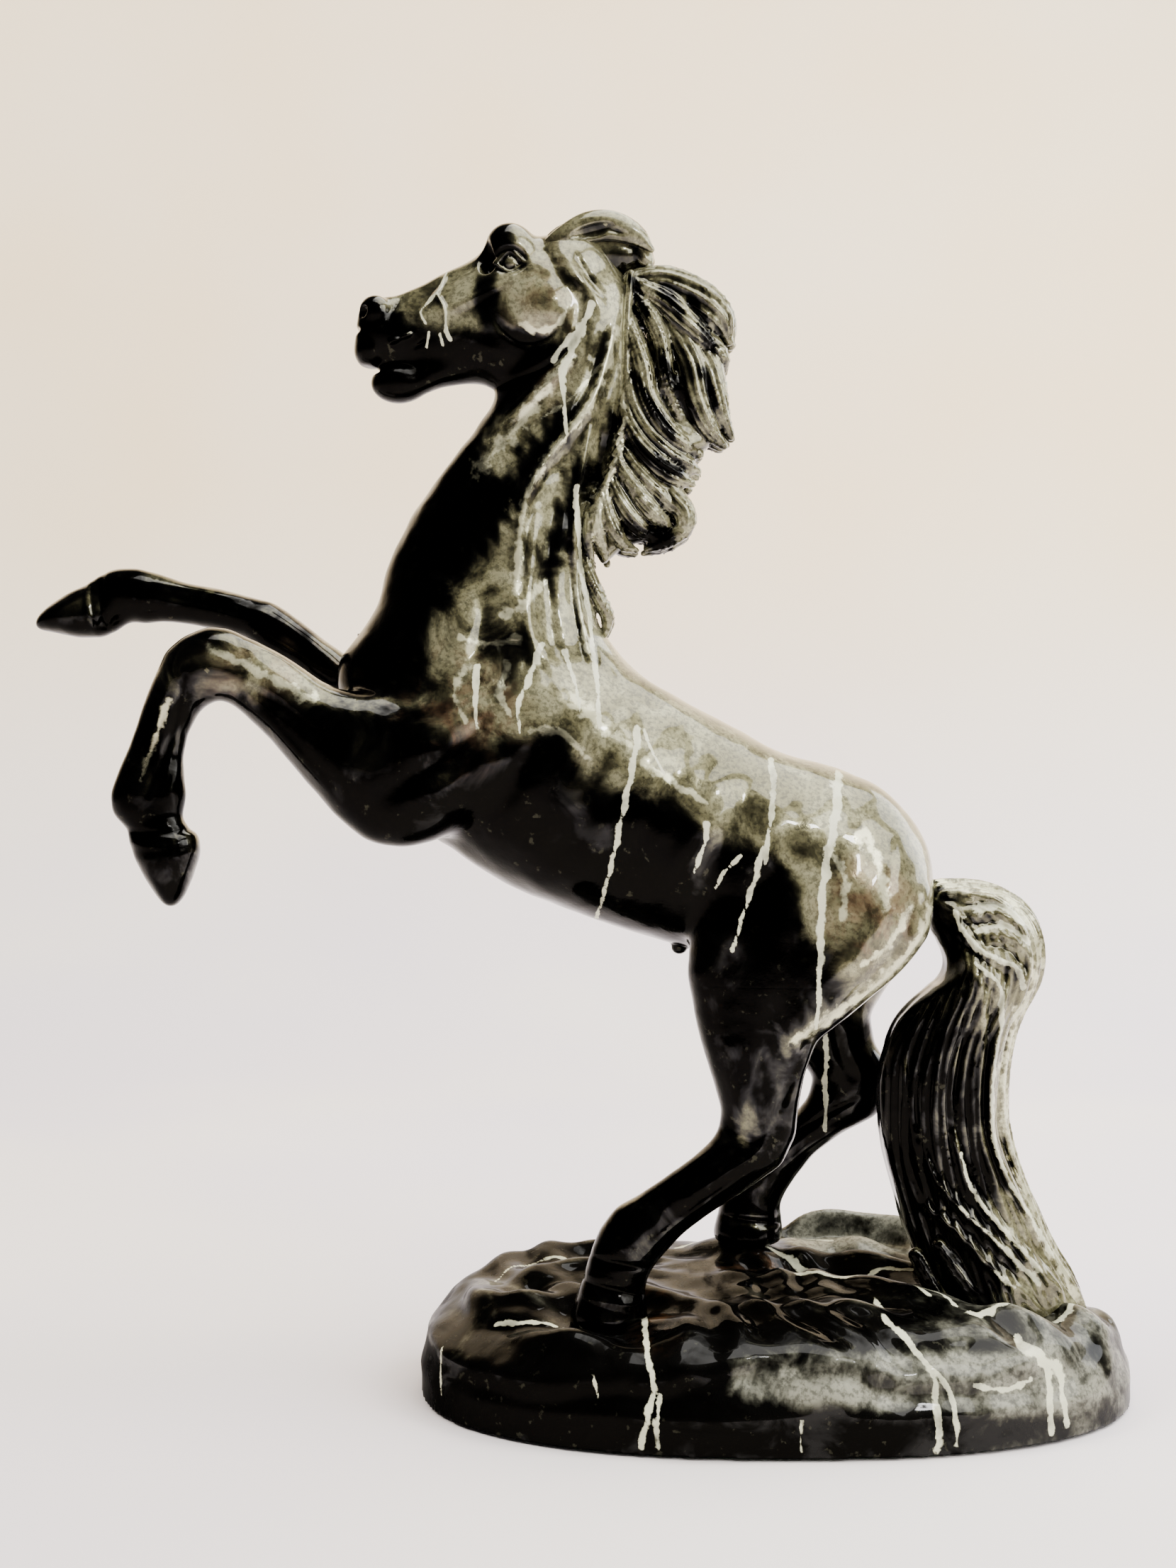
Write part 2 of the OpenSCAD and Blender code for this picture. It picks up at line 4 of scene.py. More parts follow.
import bpy
import numpy as np
import openvdb as vdb
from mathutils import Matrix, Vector


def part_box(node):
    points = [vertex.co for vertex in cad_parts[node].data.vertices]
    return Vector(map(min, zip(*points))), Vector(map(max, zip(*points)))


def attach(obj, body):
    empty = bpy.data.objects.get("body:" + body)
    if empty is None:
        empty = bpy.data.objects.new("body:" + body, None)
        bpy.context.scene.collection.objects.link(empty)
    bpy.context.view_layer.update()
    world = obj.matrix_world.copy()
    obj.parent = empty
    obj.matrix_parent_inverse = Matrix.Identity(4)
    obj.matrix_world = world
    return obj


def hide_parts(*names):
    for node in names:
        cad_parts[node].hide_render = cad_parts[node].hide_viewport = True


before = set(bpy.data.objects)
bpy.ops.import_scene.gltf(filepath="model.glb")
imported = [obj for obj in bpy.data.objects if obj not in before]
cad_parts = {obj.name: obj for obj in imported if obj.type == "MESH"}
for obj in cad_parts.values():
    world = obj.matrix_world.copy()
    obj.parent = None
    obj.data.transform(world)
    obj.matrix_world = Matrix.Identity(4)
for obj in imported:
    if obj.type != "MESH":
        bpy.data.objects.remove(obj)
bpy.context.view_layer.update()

MM = 0.001
COARSE = 1.2          # voxel of the first, smoothed copy of the CAD castings, mm
BAND = 8.0            # width of the distance band round a surface, voxels
MARGIN = 12           # voxels kept free round a casting
SEAM = 0.035          # how fast a casting shrinks once inside its neighbour
OVERLAP = 5.0         # how far a casting goes on past its joint plane, mm
SOFT_BLUR = 3.0       # smoothing of the trunk, mm
CRISP_BLUR = 1.4      # smoothing of the head and the lower legs, mm
RIPPLE = 0.32         # height of the hand-worked unevenness, mm
HORSE = ["torso_casting", "neck_casting", "head_casting", "near_foreleg",
         "off_foreleg", "near_hindleg", "off_hindleg"]


# ---------------------------------------------------------------- fields

def lay_along(values, axis):
    """A row of values laid along one axis of a 3-D grid."""
    return np.reshape(values, [-1 if a == axis else 1 for a in range(3)])


def part_along(axis, part):
    """The index that takes one part of a 3-D array along one axis."""
    return tuple(part if a == axis else slice(None) for a in range(3))


class Block:
    """A box of voxels in millimetres that holds a signed distance."""

    def __init__(self, low, high, step):
        self.low = [float(v) for v in low]
        self.step = step
        self.shape = [int(math.ceil((b - a) / step)) + 1 for a, b in zip(low, high)]
        self.x, self.y, self.z = [
            lay_along((self.low[k] + step * np.arange(self.shape[k])).astype(np.float32), k)
            for k in range(3)]
        self.data = None

    def window(self, low, high):
        """Slices of the voxels between two corners, and their coordinates."""
        cuts = []
        for k in range(3):
            first = int((low[k] - self.low[k]) / self.step)
            last = int((high[k] - self.low[k]) / self.step) + 2
            cuts.append(slice(max(0, first), max(0, min(self.shape[k], last))))
        return tuple(cuts), self.x[cuts[0]], self.y[:, cuts[1]], self.z[:, :, cuts[2]]


def node_mesh(name):
    """Points in millimetres and triangles of a CAD node."""
    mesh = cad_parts[name].data
    mesh.calc_loop_triangles()
    points = np.empty(len(mesh.vertices) * 3)
    mesh.vertices.foreach_get("co", points)
    faces = np.empty(len(mesh.loop_triangles) * 3, np.int32)
    mesh.loop_triangles.foreach_get("vertices", faces)
    return points.reshape(-1, 3) / MM, faces.reshape(-1, 3)


def level_set(points, width, **faces):
    return vdb.FloatGrid.createLevelSetFromPolygons(
        points, transform=vdb.createLinearTransform(voxelSize=COARSE), halfWidth=width, **faces)


def outer_surface(names):
    """The outer skin of several touching castings, without their hollows."""
    points, faces, count = [], [], 0
    for name in names:
        p, f = node_mesh(name)
        points.append(p)
        faces.append(f + count)
        count += len(p)
    rough = level_set(np.vstack(points), 3.0, triangles=np.vstack(faces).astype(np.uint32))
    skin, _, quads = rough.convertToPolygons(isovalue=0.0, adaptivity=0.0)
    return skin.astype(np.float64), quads


def solid(names):
    """Signed distance of the filled union of CAD castings, in millimetres."""
    skin, quads = outer_surface(names)
    grid = level_set(skin, BAND, quads=quads)
    low = np.floor(skin.min(0) / COARSE).astype(int) - MARGIN
    high = np.ceil(skin.max(0) / COARSE).astype(int) + MARGIN
    block = Block(low * COARSE, high * COARSE, COARSE)
    block.data = np.empty(tuple(high - low + 1), np.float32)
    block.shape = list(block.data.shape)
    grid.copyToArray(block.data, ijk=tuple(int(v) for v in low))
    return block


def blur(data, sigma):
    """Gaussian blur, sigma in voxels."""
    reach = int(3 * sigma + 0.5)
    taps = np.exp(-0.5 * (np.arange(-reach, reach + 1) / sigma) ** 2)
    taps /= taps.sum()
    for axis in range(3):
        wide = np.pad(data, [(reach, reach) if a == axis else (0, 0) for a in range(3)], mode="edge")
        total = np.zeros_like(data)
        for i, tap in enumerate(taps):
            total += np.float32(tap) * wide[part_along(axis, slice(i, i + data.shape[axis]))]
        data = total
    return data


def spline(data, place, axis):
    """Cubic B-spline values of an array at fractional places along one axis."""
    base = np.floor(place).astype(int)
    t = (place - base).astype(np.float32)
    weights = [(1 - t) ** 3 / 6, (3 * t ** 3 - 6 * t ** 2 + 4) / 6,
               (-3 * t ** 3 + 3 * t ** 2 + 3 * t + 1) / 6, t ** 3 / 6]
    total = 0
    for k, w in enumerate(weights):
        index = np.clip(base + k - 1, 0, data.shape[axis] - 1)
        total = total + data.take(index, axis) * lay_along(w, axis)
    return total


def resample(source, block):
    """Smooth copy of one block's field on the voxels of another."""
    data = source.data
    for axis, coord in enumerate((block.x, block.y, block.z)):
        data = spline(data, (coord.ravel() - source.low[axis]) / source.step, axis)
    return data


LATTICE_LOW, LATTICE_HIGH = (-310.0, -100.0, -20.0), (150.0, 100.0, 450.0)


def noise(block, scale, seed):
    """Smooth noise of about -1 to 1 that is the same in every block; scale in mm, one or three."""
    rng = np.random.default_rng(seed)
    scale = [float(s) for s in (scale if np.ndim(scale) else [scale] * 3)]
    size = [int((b - a) / s) + 5 for a, b, s in zip(LATTICE_LOW, LATTICE_HIGH, scale)]
    data = rng.uniform(-2, 2, size).astype(np.float32)
    for axis, coord in enumerate((block.x, block.y, block.z)):
        data = spline(data, (coord.ravel() - LATTICE_LOW[axis]) / scale[axis] + 1.5, axis)
    return data


def smooth_union(a, b, k):
    h = np.clip(0.5 + 0.5 * (a - b) / k, 0, 1)
    return a + (b - a) * h - k * h * (1 - h)


def smooth_cut(a, b, k):
    return -smooth_union(-a, b, k)


def step_up(v, low, high):
    t = np.clip((v - low) / (high - low), 0, 1)
    return t * t * (3 - 2 * t)


def blob(block, centre, radii, turn=0.0, soft=2.0, cut=False):
    """Adds or cuts an ellipsoid, turned about Y by turn degrees."""
    reach = max(radii) + 3 * soft + 2
    area, x, y, z = block.window([v - reach for v in centre], [v + reach for v in centre])
    c, s = math.cos(math.radians(turn)), math.sin(math.radians(turn))
    dx, dz = x - centre[0], z - centre[2]
    u, w = dx * c + dz * s, dz * c - dx * s
    v = y - centre[1]
    near = np.sqrt((u / radii[0]) ** 2 + (v / radii[1]) ** 2 + (w / radii[2]) ** 2) + 1e-6
    steep = np.sqrt((u / radii[0] ** 2) ** 2 + (v / radii[1] ** 2) ** 2
                    + (w / radii[2] ** 2) ** 2) + 1e-6
    shape = near * (near - 1) / steep
    mix = smooth_cut if cut else smooth_union
    block.data[area] = mix(block.data[area], shape, soft)


def blobs(block, centre, radii, turn=0.0, soft=2.0, cut=False):
    """The same ellipsoid on both sides of the horse."""
    for side in (-1, 1):
        blob(block, (centre[0], side * centre[1], centre[2]), radii, turn, soft, cut)


def curve(points, spacing=0.8):
    """Smooth line through points of any dimension, as evenly spaced samples."""
    p = np.array(points, float)
    if len(p) == 2:
        p = np.array([p[0], (p[0] + p[1]) / 2, p[1]])
    ends = np.vstack([2 * p[0] - p[1], p, 2 * p[-1] - p[-2]])
    out = []
    for i in range(1, len(ends) - 2):
        a, b, c, d = ends[i - 1:i + 3]
        n = max(2, int(np.linalg.norm(c[:2] - b[:2]) / spacing))
        t = (np.arange(n) / n)[:, None]
        out.append(0.5 * (2 * b + (c - a) * t + (2 * a - 5 * b + 4 * c - d) * t * t
                          + (3 * b - a - 3 * c + d) * t ** 3))
    return np.vstack(out + [p[-1:]])


def nearest(u, v, line):
    """Distance, place along (0 to 1) and signed side offset of a 2-D grid from a line."""
    shape = np.broadcast(u, v).shape
    best = np.full(shape, 1e9, np.float32)
    along = np.zeros(shape, np.float32)
    side = np.zeros(shape, np.float32)
    count = len(line) - 1
    for i in range(count):
        a, d = line[i], line[i + 1] - line[i]
        length = d @ d + 1e-9
        du, dv = u - a[0], v - a[1]
        t = np.clip((du * d[0] + dv * d[1]) / length, 0, 1)
        gap = (du - t * d[0]) ** 2 + (dv - t * d[1]) ** 2
        closer = gap < best
        best = np.where(closer, gap, best)
        along = np.where(closer, (i + t) / count, along)
        side = np.where(closer, np.sign(du * d[1] - dv * d[0]), side)
    best = np.sqrt(best)
    return best, along, side * best


def stroke_map(u, v, strokes):
    """Relief in mm on a 2-D grid: each stroke is (points, width, height)."""
    total = np.zeros((len(u), len(v)), np.float32)
    for points, width, height in strokes:
        line = curve(points)
        low, high = line.min(0) - 3 * width, line.max(0) + 3 * width
        iu = slice(*np.searchsorted(u, [low[0], high[0]]))
        iv = slice(*np.searchsorted(v, [low[1], high[1]]))
        if iu.stop <= iu.start or iv.stop <= iv.start:
            continue
        gap, along, _ = nearest(u[iu, None], v[None, iv], line)
        fade = np.clip(np.sin(np.pi * np.clip(along, 0.02, 0.98)), 0, 1) ** 0.6
        total[iu, iv] += height * fade * np.exp(-(gap / width) ** 2)
    return total


def emboss(block, strokes, side=0):
    """Raises (or sinks) strokes drawn in side view on the near (-1), far (1) or both sides."""
    flat = stroke_map(block.x.ravel(), block.z.ravel(), strokes)
    weight = 1.0 if side == 0 else step_up(side * block.y, -3, 3)
    block.data -= flat[:, None, :] * weight


def cut_at(block, point, tilt, keep_above, mask=1.0):
    """Ends a casting past a joint plane, shrinking it gently inside its neighbour.

    The mask says where the cut holds: 1 in full, 0 not at all.
    """
    c, s = math.cos(math.radians(tilt)), math.sin(math.radians(tilt))
    gap = (block.z - point[1]) * c - (block.x - point[0]) * s
    if keep_above:
        gap = -gap
    past = np.maximum(gap, 0)
    sunk = np.maximum(block.data + SEAM * past ** 2 + 0.02 * past, gap - OVERLAP)
    block.data = block.data + mask * (sunk - block.data)


# ---------------------------------------------------------------- meshes

def relax(points, quads, rounds):
    """Volume-keeping smoothing of the extracted surface."""
    a = quads.ravel()
    b = np.roll(quads, -1, axis=1).ravel()
    n = len(points)
    count = np.bincount(a, minlength=n) + np.bincount(b, minlength=n)
    for k in range(2 * rounds):
        pull = np.empty_like(points)
        for axis in range(3):
            column = points[:, axis]
            pull[:, axis] = (np.bincount(a, column[b], n) + np.bincount(b, column[a], n)) / count
        points = points + (0.5 if k % 2 == 0 else -0.52) * (pull - points)
    return points


def make_piece(block, node, rounds=4):
    """Turns a block's field into a closed mesh that stands for its CAD node."""
    name = node.replace("_casting", "") + "_bronze"
    data = block.data
    for axis in range(3):
        for end in (0, -1):
            rim = part_along(axis, end)
            data[rim] = np.maximum(data[rim], 0.5)
    grid = vdb.FloatGrid(50.0)
    grid.copyFromArray(np.ascontiguousarray(np.clip(data, -20, 20), dtype=np.float32))
    points, _, quads = grid.convertToPolygons(isovalue=0.0, adaptivity=0.0)
    points, quads = largest_part(points.astype(np.float64), quads.astype(np.int64))
    points = relax(points, quads, rounds) * block.step + block.low
    first = points[quads[:, 0]]
    wide = np.cross(points[quads[:, 2]] - first, points[quads[:, 3]] - points[quads[:, 1]])
    if (first * wide).sum() < 0:
        quads = quads[:, ::-1]
    mesh = bpy.data.meshes.new(name)
    mesh.vertices.add(len(points))
    mesh.vertices.foreach_set("co", (points * MM).astype(np.float32).ravel())
    mesh.loops.add(quads.size)
    mesh.loops.foreach_set("vertex_index", quads.astype(np.int32).ravel())
    mesh.polygons.add(len(quads))
    mesh.polygons.foreach_set("loop_start", np.arange(0, quads.size, 4, dtype=np.int32))
    mesh.update(calc_edges=True)
    mesh.polygons.foreach_set("use_smooth", np.ones(len(quads), bool))
    mesh.update()
    piece = bpy.data.objects.new(name, mesh)
    bpy.context.scene.collection.objects.link(piece)
    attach(piece, "root")
    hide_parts(node)
    return piece


def largest_part(points, quads):
    """Keeps the biggest connected shell, so that no speck floats beside a casting."""
    label = np.arange(len(points))
    while True:
        low = label[quads].min(1)
        new = label.copy()
        np.minimum.at(new, quads.ravel(), np.repeat(low, 4))
        new = new[new]
        if (new == label).all():
            break
        label = new
    keep = label == np.bincount(label).argmax()
    order = np.cumsum(keep) - 1
    return points[keep], order[quads[keep[quads[:, 0]]]]


# ------------------------------------------------------- the animal's forms

def horse_field():
    """Trunk, neck, head and legs as one form: soft on the trunk, crisp on the head and lower legs."""
    whole = solid(HORSE)
    soft = blur(whole.data, SOFT_BLUR / COARSE)
    crisp = blur(whole.data, CRISP_BLUR / COARSE)
    crispness = np.maximum(step_up(whole.z, 366, 386), step_up(-whole.z, -150, -120))
    crispness = np.maximum(crispness, step_up(-whole.x, 160, 190))
    whole.data = soft + (crisp - soft) * crispness
    return whole


# Muscles and folds drawn in side view, mm: points (x, z), half width, height.
TRUNK_STROKES = [
    ([(-70, 256), (-90, 226), (-108, 204), (-122, 196)], 5, -1.9),
    ([(-86, 262), (-104, 240), (-128, 222), (-146, 214)], 4.5, -1.3),
    ([(-98, 262), (-116, 252), (-134, 246)], 5, 1.2), ([(-96, 236), (-112, 222), (-130, 210)], 6, 1.4),
    ([(-58, 246), (-64, 222), (-74, 200), (-88, 186)], 5, -1),
    ([(-30, 236), (-40, 216), (-54, 194), (-64, 178)], 3.6, -0.45),
    ([(-42, 240), (-52, 218), (-66, 196), (-76, 180)], 3.6, 0.45),
    ([(-18, 230), (-26, 212), (-38, 192), (-50, 174)], 3.6, 0.4),
    ([(-10, 224), (-18, 206), (-26, 188)], 3.6, -0.4),
    ([(-12, 214), (-22, 196), (-28, 178), (-33, 160)], 4.5, -2),
    ([(2, 216), (-8, 196), (-18, 176), (-24, 158), (-28, 140)], 5, 1.3),
    ([(28, 222), (18, 196), (8, 172), (0, 150), (-4, 132)], 5.5, -1),
    ([(46, 208), (38, 184), (28, 164), (12, 146), (0, 130)], 4, 1.3),
    ([(52, 192), (42, 166), (26, 148), (8, 130)], 2.6, -1.2), ([(30, 224), (40, 218), (47, 210)], 4, 0.8),
]
NECK_STROKES = [
    ([(-56, 392), (-60, 376), (-66, 358), (-77, 343), (-86, 330), (-91, 314), (-93, 290)], 2.1, 2.7),
    ([(-62, 384), (-66, 366), (-74, 350), (-84, 336)], 2.2, -1.2),
    ([(-72, 376), (-82, 364), (-94, 352), (-107, 336)], 2.6, 2.3),
    ([(-68, 374), (-76, 360), (-88, 346), (-98, 330), (-104, 312)], 3.4, -1.5),
    ([(-78, 366), (-92, 352), (-106, 338), (-118, 322)], 3.4, -1.2),
    ([(-66, 352), (-71, 325), (-72, 306), (-70, 282), (-64, 256)], 1.5, 2),
    ([(-76, 338), (-80, 318), (-82, 298), (-81, 276), (-76, 258)], 3.2, -1.5),
    ([(-60, 356), (-64, 338), (-66, 318), (-67, 300)], 2.2, -1.2),
    ([(-86, 318), (-88, 296), (-88, 276), (-84, 256)], 2.2, 1.1),
    ([(-100, 322), (-102, 302), (-102, 284)], 4, -1.2), ([(-96, 292), (-92, 282), (-95, 270)], 4.5, 1.8),
    ([(-106, 290), (-104, 276), (-108, 262)], 3.2, -1.3),
    ([(-114, 284), (-112, 270), (-118, 256)], 4, 1.2), ([(-86, 272), (-80, 262), (-76, 250)], 2.4, 1),
]
HEAD_STROKES = [
    ([(-92, 402), (-104, 397), (-114, 393), (-124, 390)], 1.8, 0.9),
    ([(-95, 398), (-108, 391), (-120, 385)], 3, -0.9),
    ([(-104, 410), (-116, 404), (-128, 399), (-136, 397)], 2.6, -0.7),
    ([(-102, 365), (-92, 366.5), (-82, 370), (-75, 376), (-71, 384), (-70, 396)], 1.8, -1.6),
    ([(-101, 391), (-99, 385), (-93, 380), (-85, 379.5), (-77, 383)], 1.5, -1.2),
    ([(-78, 412), (-73, 404), (-66, 396), (-62, 388)], 2.4, 1),
    ([(-72, 410), (-67, 402), (-60, 394)], 1.4, -0.8), ([(-84, 414), (-79, 406), (-76, 398)], 2.4, -0.9),
    ([(-119, 407), (-121.5, 400), (-125, 395), (-128, 391), (-126, 387)], 0.8, 0.7),
    ([(-122, 398), (-119, 392), (-118.5, 384)], 0.8, 0.7),
    ([(-134, 398), (-138, 393), (-139, 387)], 1.6, -0.9),
    ([(-113, 381), (-103, 377), (-95, 374)], 2.4, 0.6),
]
NEAR_LEG_STROKES = [
    ([(-160, 258), (-176, 266), (-190, 271)], 2.4, 0.7),
    ([(-152, 212), (-166, 228), (-180, 243), (-190, 250)], 2, 0.7),
    ([(-156, 234), (-172, 246), (-188, 256)], 2.6, -0.9),
    ([(-212, 262), (-217, 248), (-222, 232), (-228, 218)], 1.6, 0.7),
    ([(-208, 258), (-212, 244), (-216, 230), (-221, 217)], 1.3, -0.9),
    ([(-206, 252), (-208, 240), (-211, 228), (-214, 216)], 1.4, 0.5),
    ([(-232, 205), (-222, 203.5), (-212, 204), (-204, 206)], 1.5, -0.7),
    ([(-231, 200.5), (-220, 199), (-205, 200.5)], 1.4, 0.4),
    ([(-222, 196), (-219, 188), (-216, 181)], 2.6, 0.5),
    ([(-20, 134), (-18, 120), (-14, 108), (-12, 96)], 3.2, 0.8),
    ([(10, 132), (2, 116), (-2, 104), (-6, 92)], 2.6, -1.3),
    ([(0, 108), (-8, 94), (-20, 86), (-32, 78)], 1.8, 0.9),
    ([(-16, 96), (-28, 88), (-42, 78), (-52, 70)], 1.4, -0.9),
    ([(-10, 88), (-24, 78), (-40, 66), (-48, 58)], 1.3, 0.8),
    ([(-66, 56), (-56, 55), (-46, 53)], 1.2, -0.8), ([(-70, 48), (-58, 46), (-46, 43)], 1.4, -0.8),
    ([(-71, 44), (-58, 42), (-46, 39)], 1.4, 0.4),
]
FAR_LEG_STROKES = [
    ([(-166, 266), (-180, 276), (-194, 283)], 2.2, -0.8),
    ([(-196, 284), (-212, 289), (-228, 292)], 1.4, -0.7),
    ([(-196, 290), (-214, 294), (-230, 297)], 1.4, 0.6),
    ([(-251, 302), (-250, 290), (-249, 278)], 1.4, -0.7),
    ([(-256, 298), (-255, 288), (-253, 277)], 1.1, 0.6), ([(24, 132), (28, 118), (34, 108)], 2.6, -1),
    ([(36, 104), (22, 96), (8, 86), (0, 76)], 1.4, -0.9), ([(30, 92), (16, 84), (4, 74)], 1.3, 0.7),
    ([(-18, 57), (-6, 56), (7, 54)], 1.4, -0.7),
]


def sculpt(block):
    """Muscles, folds and the hand-worked surface, the same in every block they cross."""
    emboss(block, TRUNK_STROKES + NECK_STROKES + HEAD_STROKES)
    emboss(block, NEAR_LEG_STROKES, -1)
    emboss(block, FAR_LEG_STROKES, 1)
    trunk = step_up(block.x, -190, -150) * step_up(block.z, 96, 140)
    shoulder = step_up(block.x, -150, -126) * step_up(-block.x, -4, 60) * step_up(block.z, 186, 226)
    ripple = RIPPLE * noise(block, 10.0, 3) + 0.4 * RIPPLE * noise(block, 5.0, 4)
    block.data += ripple * (0.3 + 0.8 * trunk + 1.5 * shoulder) + 0.06 * noise(block, 2.4, 5)
    return block


HORSE_FIELD = horse_field()


def casting(low, high, step):
    """A block of the sculpted horse, from which one casting is cut."""
    block = Block(low, high, step)
    block.data = resample(HORSE_FIELD, block)
    return sculpt(block)


# Joint planes between the castings: point (x, z), tilt from level in degrees.
NECK_JOINT = ((-110, 270), 4.6)
HEAD_JOINT = ((-78, 362.5), 18)
NEAR_FORE_JOINT = ((-149, 226), 90)
OFF_FORE_JOINT = ((-150, 251), 52)
HIND_JOINT = ((0, 150), 0)
NECK_FRONT = ((-155, 272), 60)        # parts the neck from the root of the far foreleg


def far_side(block):
    """1 in the far foreleg's half of the chest, 0 in the near one's."""
    return step_up(block.y, 4, 9)


def torso():
    block = casting((-164, -44, 143), (68, 44, 280), 0.95)
    blob(block, (-34, 0, 161), (3, 2.6, 2.8), soft=1.5)
    cut_at(block, *NECK_JOINT, keep_above=False)
    cut_at(block, *HIND_JOINT, keep_above=True)
    cut_at(block, *NEAR_FORE_JOINT, keep_above=False, mask=step_up(-block.y, 4, 9))
    cut_at(block, *OFF_FORE_JOINT, keep_above=False, mask=far_side(block))
    return make_piece(block, "torso_casting")


def neck():
    block = casting((-166, -30, 262), (-42, 30, 386), 0.6)
    cut_at(block, *NECK_JOINT, keep_above=True)
    cut_at(block, *HEAD_JOINT, keep_above=False)
    far_root = far_side(block) * (1 - step_up(block.z, 286, 294))
    cut_at(block, *NECK_FRONT, keep_above=False, mask=far_root)
    return make_piece(block, "neck_casting")


def near_foreleg():
    block = casting((-243, -40, 170), (-140, -2, 284), 0.5)
    cut_at(block, *NEAR_FORE_JOINT, keep_above=True)
    cut_at(block, *NECK_JOINT, keep_above=False, mask=step_up(block.x, -172, -165))
    block.data = block.data + 0.06 * np.maximum(0, block.y + 4.5)
    return make_piece(block, "near_foreleg")


def off_foreleg():
    block = casting((-284, 2, 232), (-136, 40, 308), 0.5)
    cut_at(block, *OFF_FORE_JOINT, keep_above=True)
    cut_at(block, *NECK_FRONT, keep_above=True, mask=step_up(block.z, 261, 267))
    block.data = block.data + 0.06 * np.maximum(0, 4.5 - block.y)
    return make_piece(block, "off_foreleg")


def hindleg(name, low, high):
    block = casting(low, high, 0.6)
    cut_at(block, *HIND_JOINT, keep_above=False)
    return make_piece(block, name)


def head():
    block = casting((-158, -23, 348), (-40, 23, 432), 0.55)
    nose(block)
    mouth(block)
    eyes(block)
    cheeks(block)
    cut_at(block, *HEAD_JOINT, keep_above=True)
    return make_piece(block, "head_casting", rounds=3)


def nose(block):
    blobs(block, (-144.8, 5.4, 392.4), (5.8, 4.8, 5.9), soft=1.0)
    blobs(block, (-149.8, 8.4, 391.8), (2.8, 2.6, 2.2), 30, 0.8, cut=True)
    blobs(block, (-138.2, 10.0, 393.5), (1.7, 2.2, 4.6), -18, 1.0, cut=True)
    blob(block, (-147.2, 0, 379.6), (6.0, 8.0, 6.8), soft=1.2)
    blob(block, (-153.4, 0, 386.2), (3.4, 16.0, 1.3), -8, 0.9, cut=True)


def mouth(block):
    blob(block, (-137, 0, 367.6), (10.0, 7.6, 7.2), soft=1.4)
    blob(block, (-147.4, 0, 372.2), (4.2, 14.0, 1.2), -14, 0.8, cut=True)
    for x, z in curve([(-144, 373.0), (-138, 375.6), (-132, 378.4), (-127, 381)], 1.0):
        blobs(block, (x, 9.4, z), (1.2, 3.4, 0.75), 22, 0.5, cut=True)
    for x, z in ((-137.4, 381.4), (-133.0, 383.2)):
        blobs(block, (x, 8.0, z), (2.4, 1.4, 0.9), 22, 0.8)


def eyes(block):
    blobs(block, (-95.8, 9.4, 414.6), (8.6, 7.2, 8.6), 4, 4.5)
    blobs(block, (-95.6, 16.4, 408.0), (6.0, 3.6, 4.4), 10, 1.6, cut=True)
    blobs(block, (-95.4, 12.2, 407.6), (3.7, 3.5, 3.3), 8, 0.3)
    for low, high, lift in ((407.4, 411.6, 1.0), (407.0, 404.2, 0.5)):
        for x, z in curve([(-100.6, low), (-95.6, high), (-90.4, low)], 1.0):
            blobs(block, (x, 14.2, z), (1.2, 1.3, lift), 0, 0.6)
    blobs(block, (-104, 11.0, 410.0), (3.6, 3.4, 7.0), 14, 2.0, cut=True)


def cheeks(block):
    blobs(block, (-83.8, 11.6, 392.4), (11.6, 7.9, 10.6), 0, 1.8)


def ear(side):
    """A pointed leaf laid back along the poll, hollow on its outer side."""
    name = "near_ear" if side < 0 else "off_ear"
    low_y, high_y = sorted((side * 3, side * 17))
    block = Block((-88, low_y, 404), (-40, high_y, 433), 0.45)
    block.data = np.full(block.shape, 9.0, np.float32)
    leaf = [(-83, 414, 8.0, 3.0, 3.4), (-76, 418, 9.0, 4.6, 4.2), (-67, 421.6, 9.8, 5.8, 4.0),
            (-58, 421.8, 9.8, 5.6, 3.4), (-50, 418.6, 9.2, 3.9, 2.6), (-44.5, 414.0, 8.6, 1.2, 1.2)]
    lock(block, [(x, side * y, z, w, t) for x, z, y, w, t in leaf], 5, 0.10, 1.0)
    blob(block, (-66, side * 14.6, 419.0), (9.5, 3.6, 3.0), 16, 0.8, cut=True)
    blob(block, (-57, side * 13.9, 419.4), (5.5, 2.2, 1.3), -14, 0.8, cut=True)
    return make_piece(block, name, rounds=2)


def lock(block, spine, strands, groove, soft):
    """A lock of hair: oval sections (x, y, z, half width, half thickness) with fine grooves."""
    rows = np.array(spine, float)
    flat = curve(np.column_stack([rows[:, 0], rows[:, 2], rows[:, 1], rows[:, 3:]]), 0.9)
    reach = rows[:, 3:].max() + 3 * soft + 1.5
    middle = flat[:, [0, 2, 1]]
    area, x, y, z = block.window(middle.min(0) - reach, middle.max(0) + reach)
    gap, along, side = nearest(x[:, :, 0], z[0], flat[:, :2])
    share = np.linspace(0, 1, len(flat))
    centre, wide, thick = (np.interp(along, share, flat[:, k])[:, None, :] for k in (2, 3, 4))
    wide, thick = np.maximum(wide, 0.3), np.maximum(thick, 0.3)
    across = gap[:, None, :] / wide
    deep = (y - centre) / thick
    round_ = np.sqrt(across ** 2 + deep ** 2) + 1e-5
    steep = np.sqrt((across / wide) ** 2 + (deep / thick) ** 2) + 1e-5
    turn = np.arctan2(deep, np.sign(side)[:, None, :] * across) + 0.8 * along[:, None, :]
    shape = round_ * (round_ - 1) / steep
    shape += groove * np.abs(np.sin(0.5 * strands * turn)) ** 0.7 * np.minimum(1, wide / 3)
    block.data[area] = smooth_union(block.data[area], shape, soft)


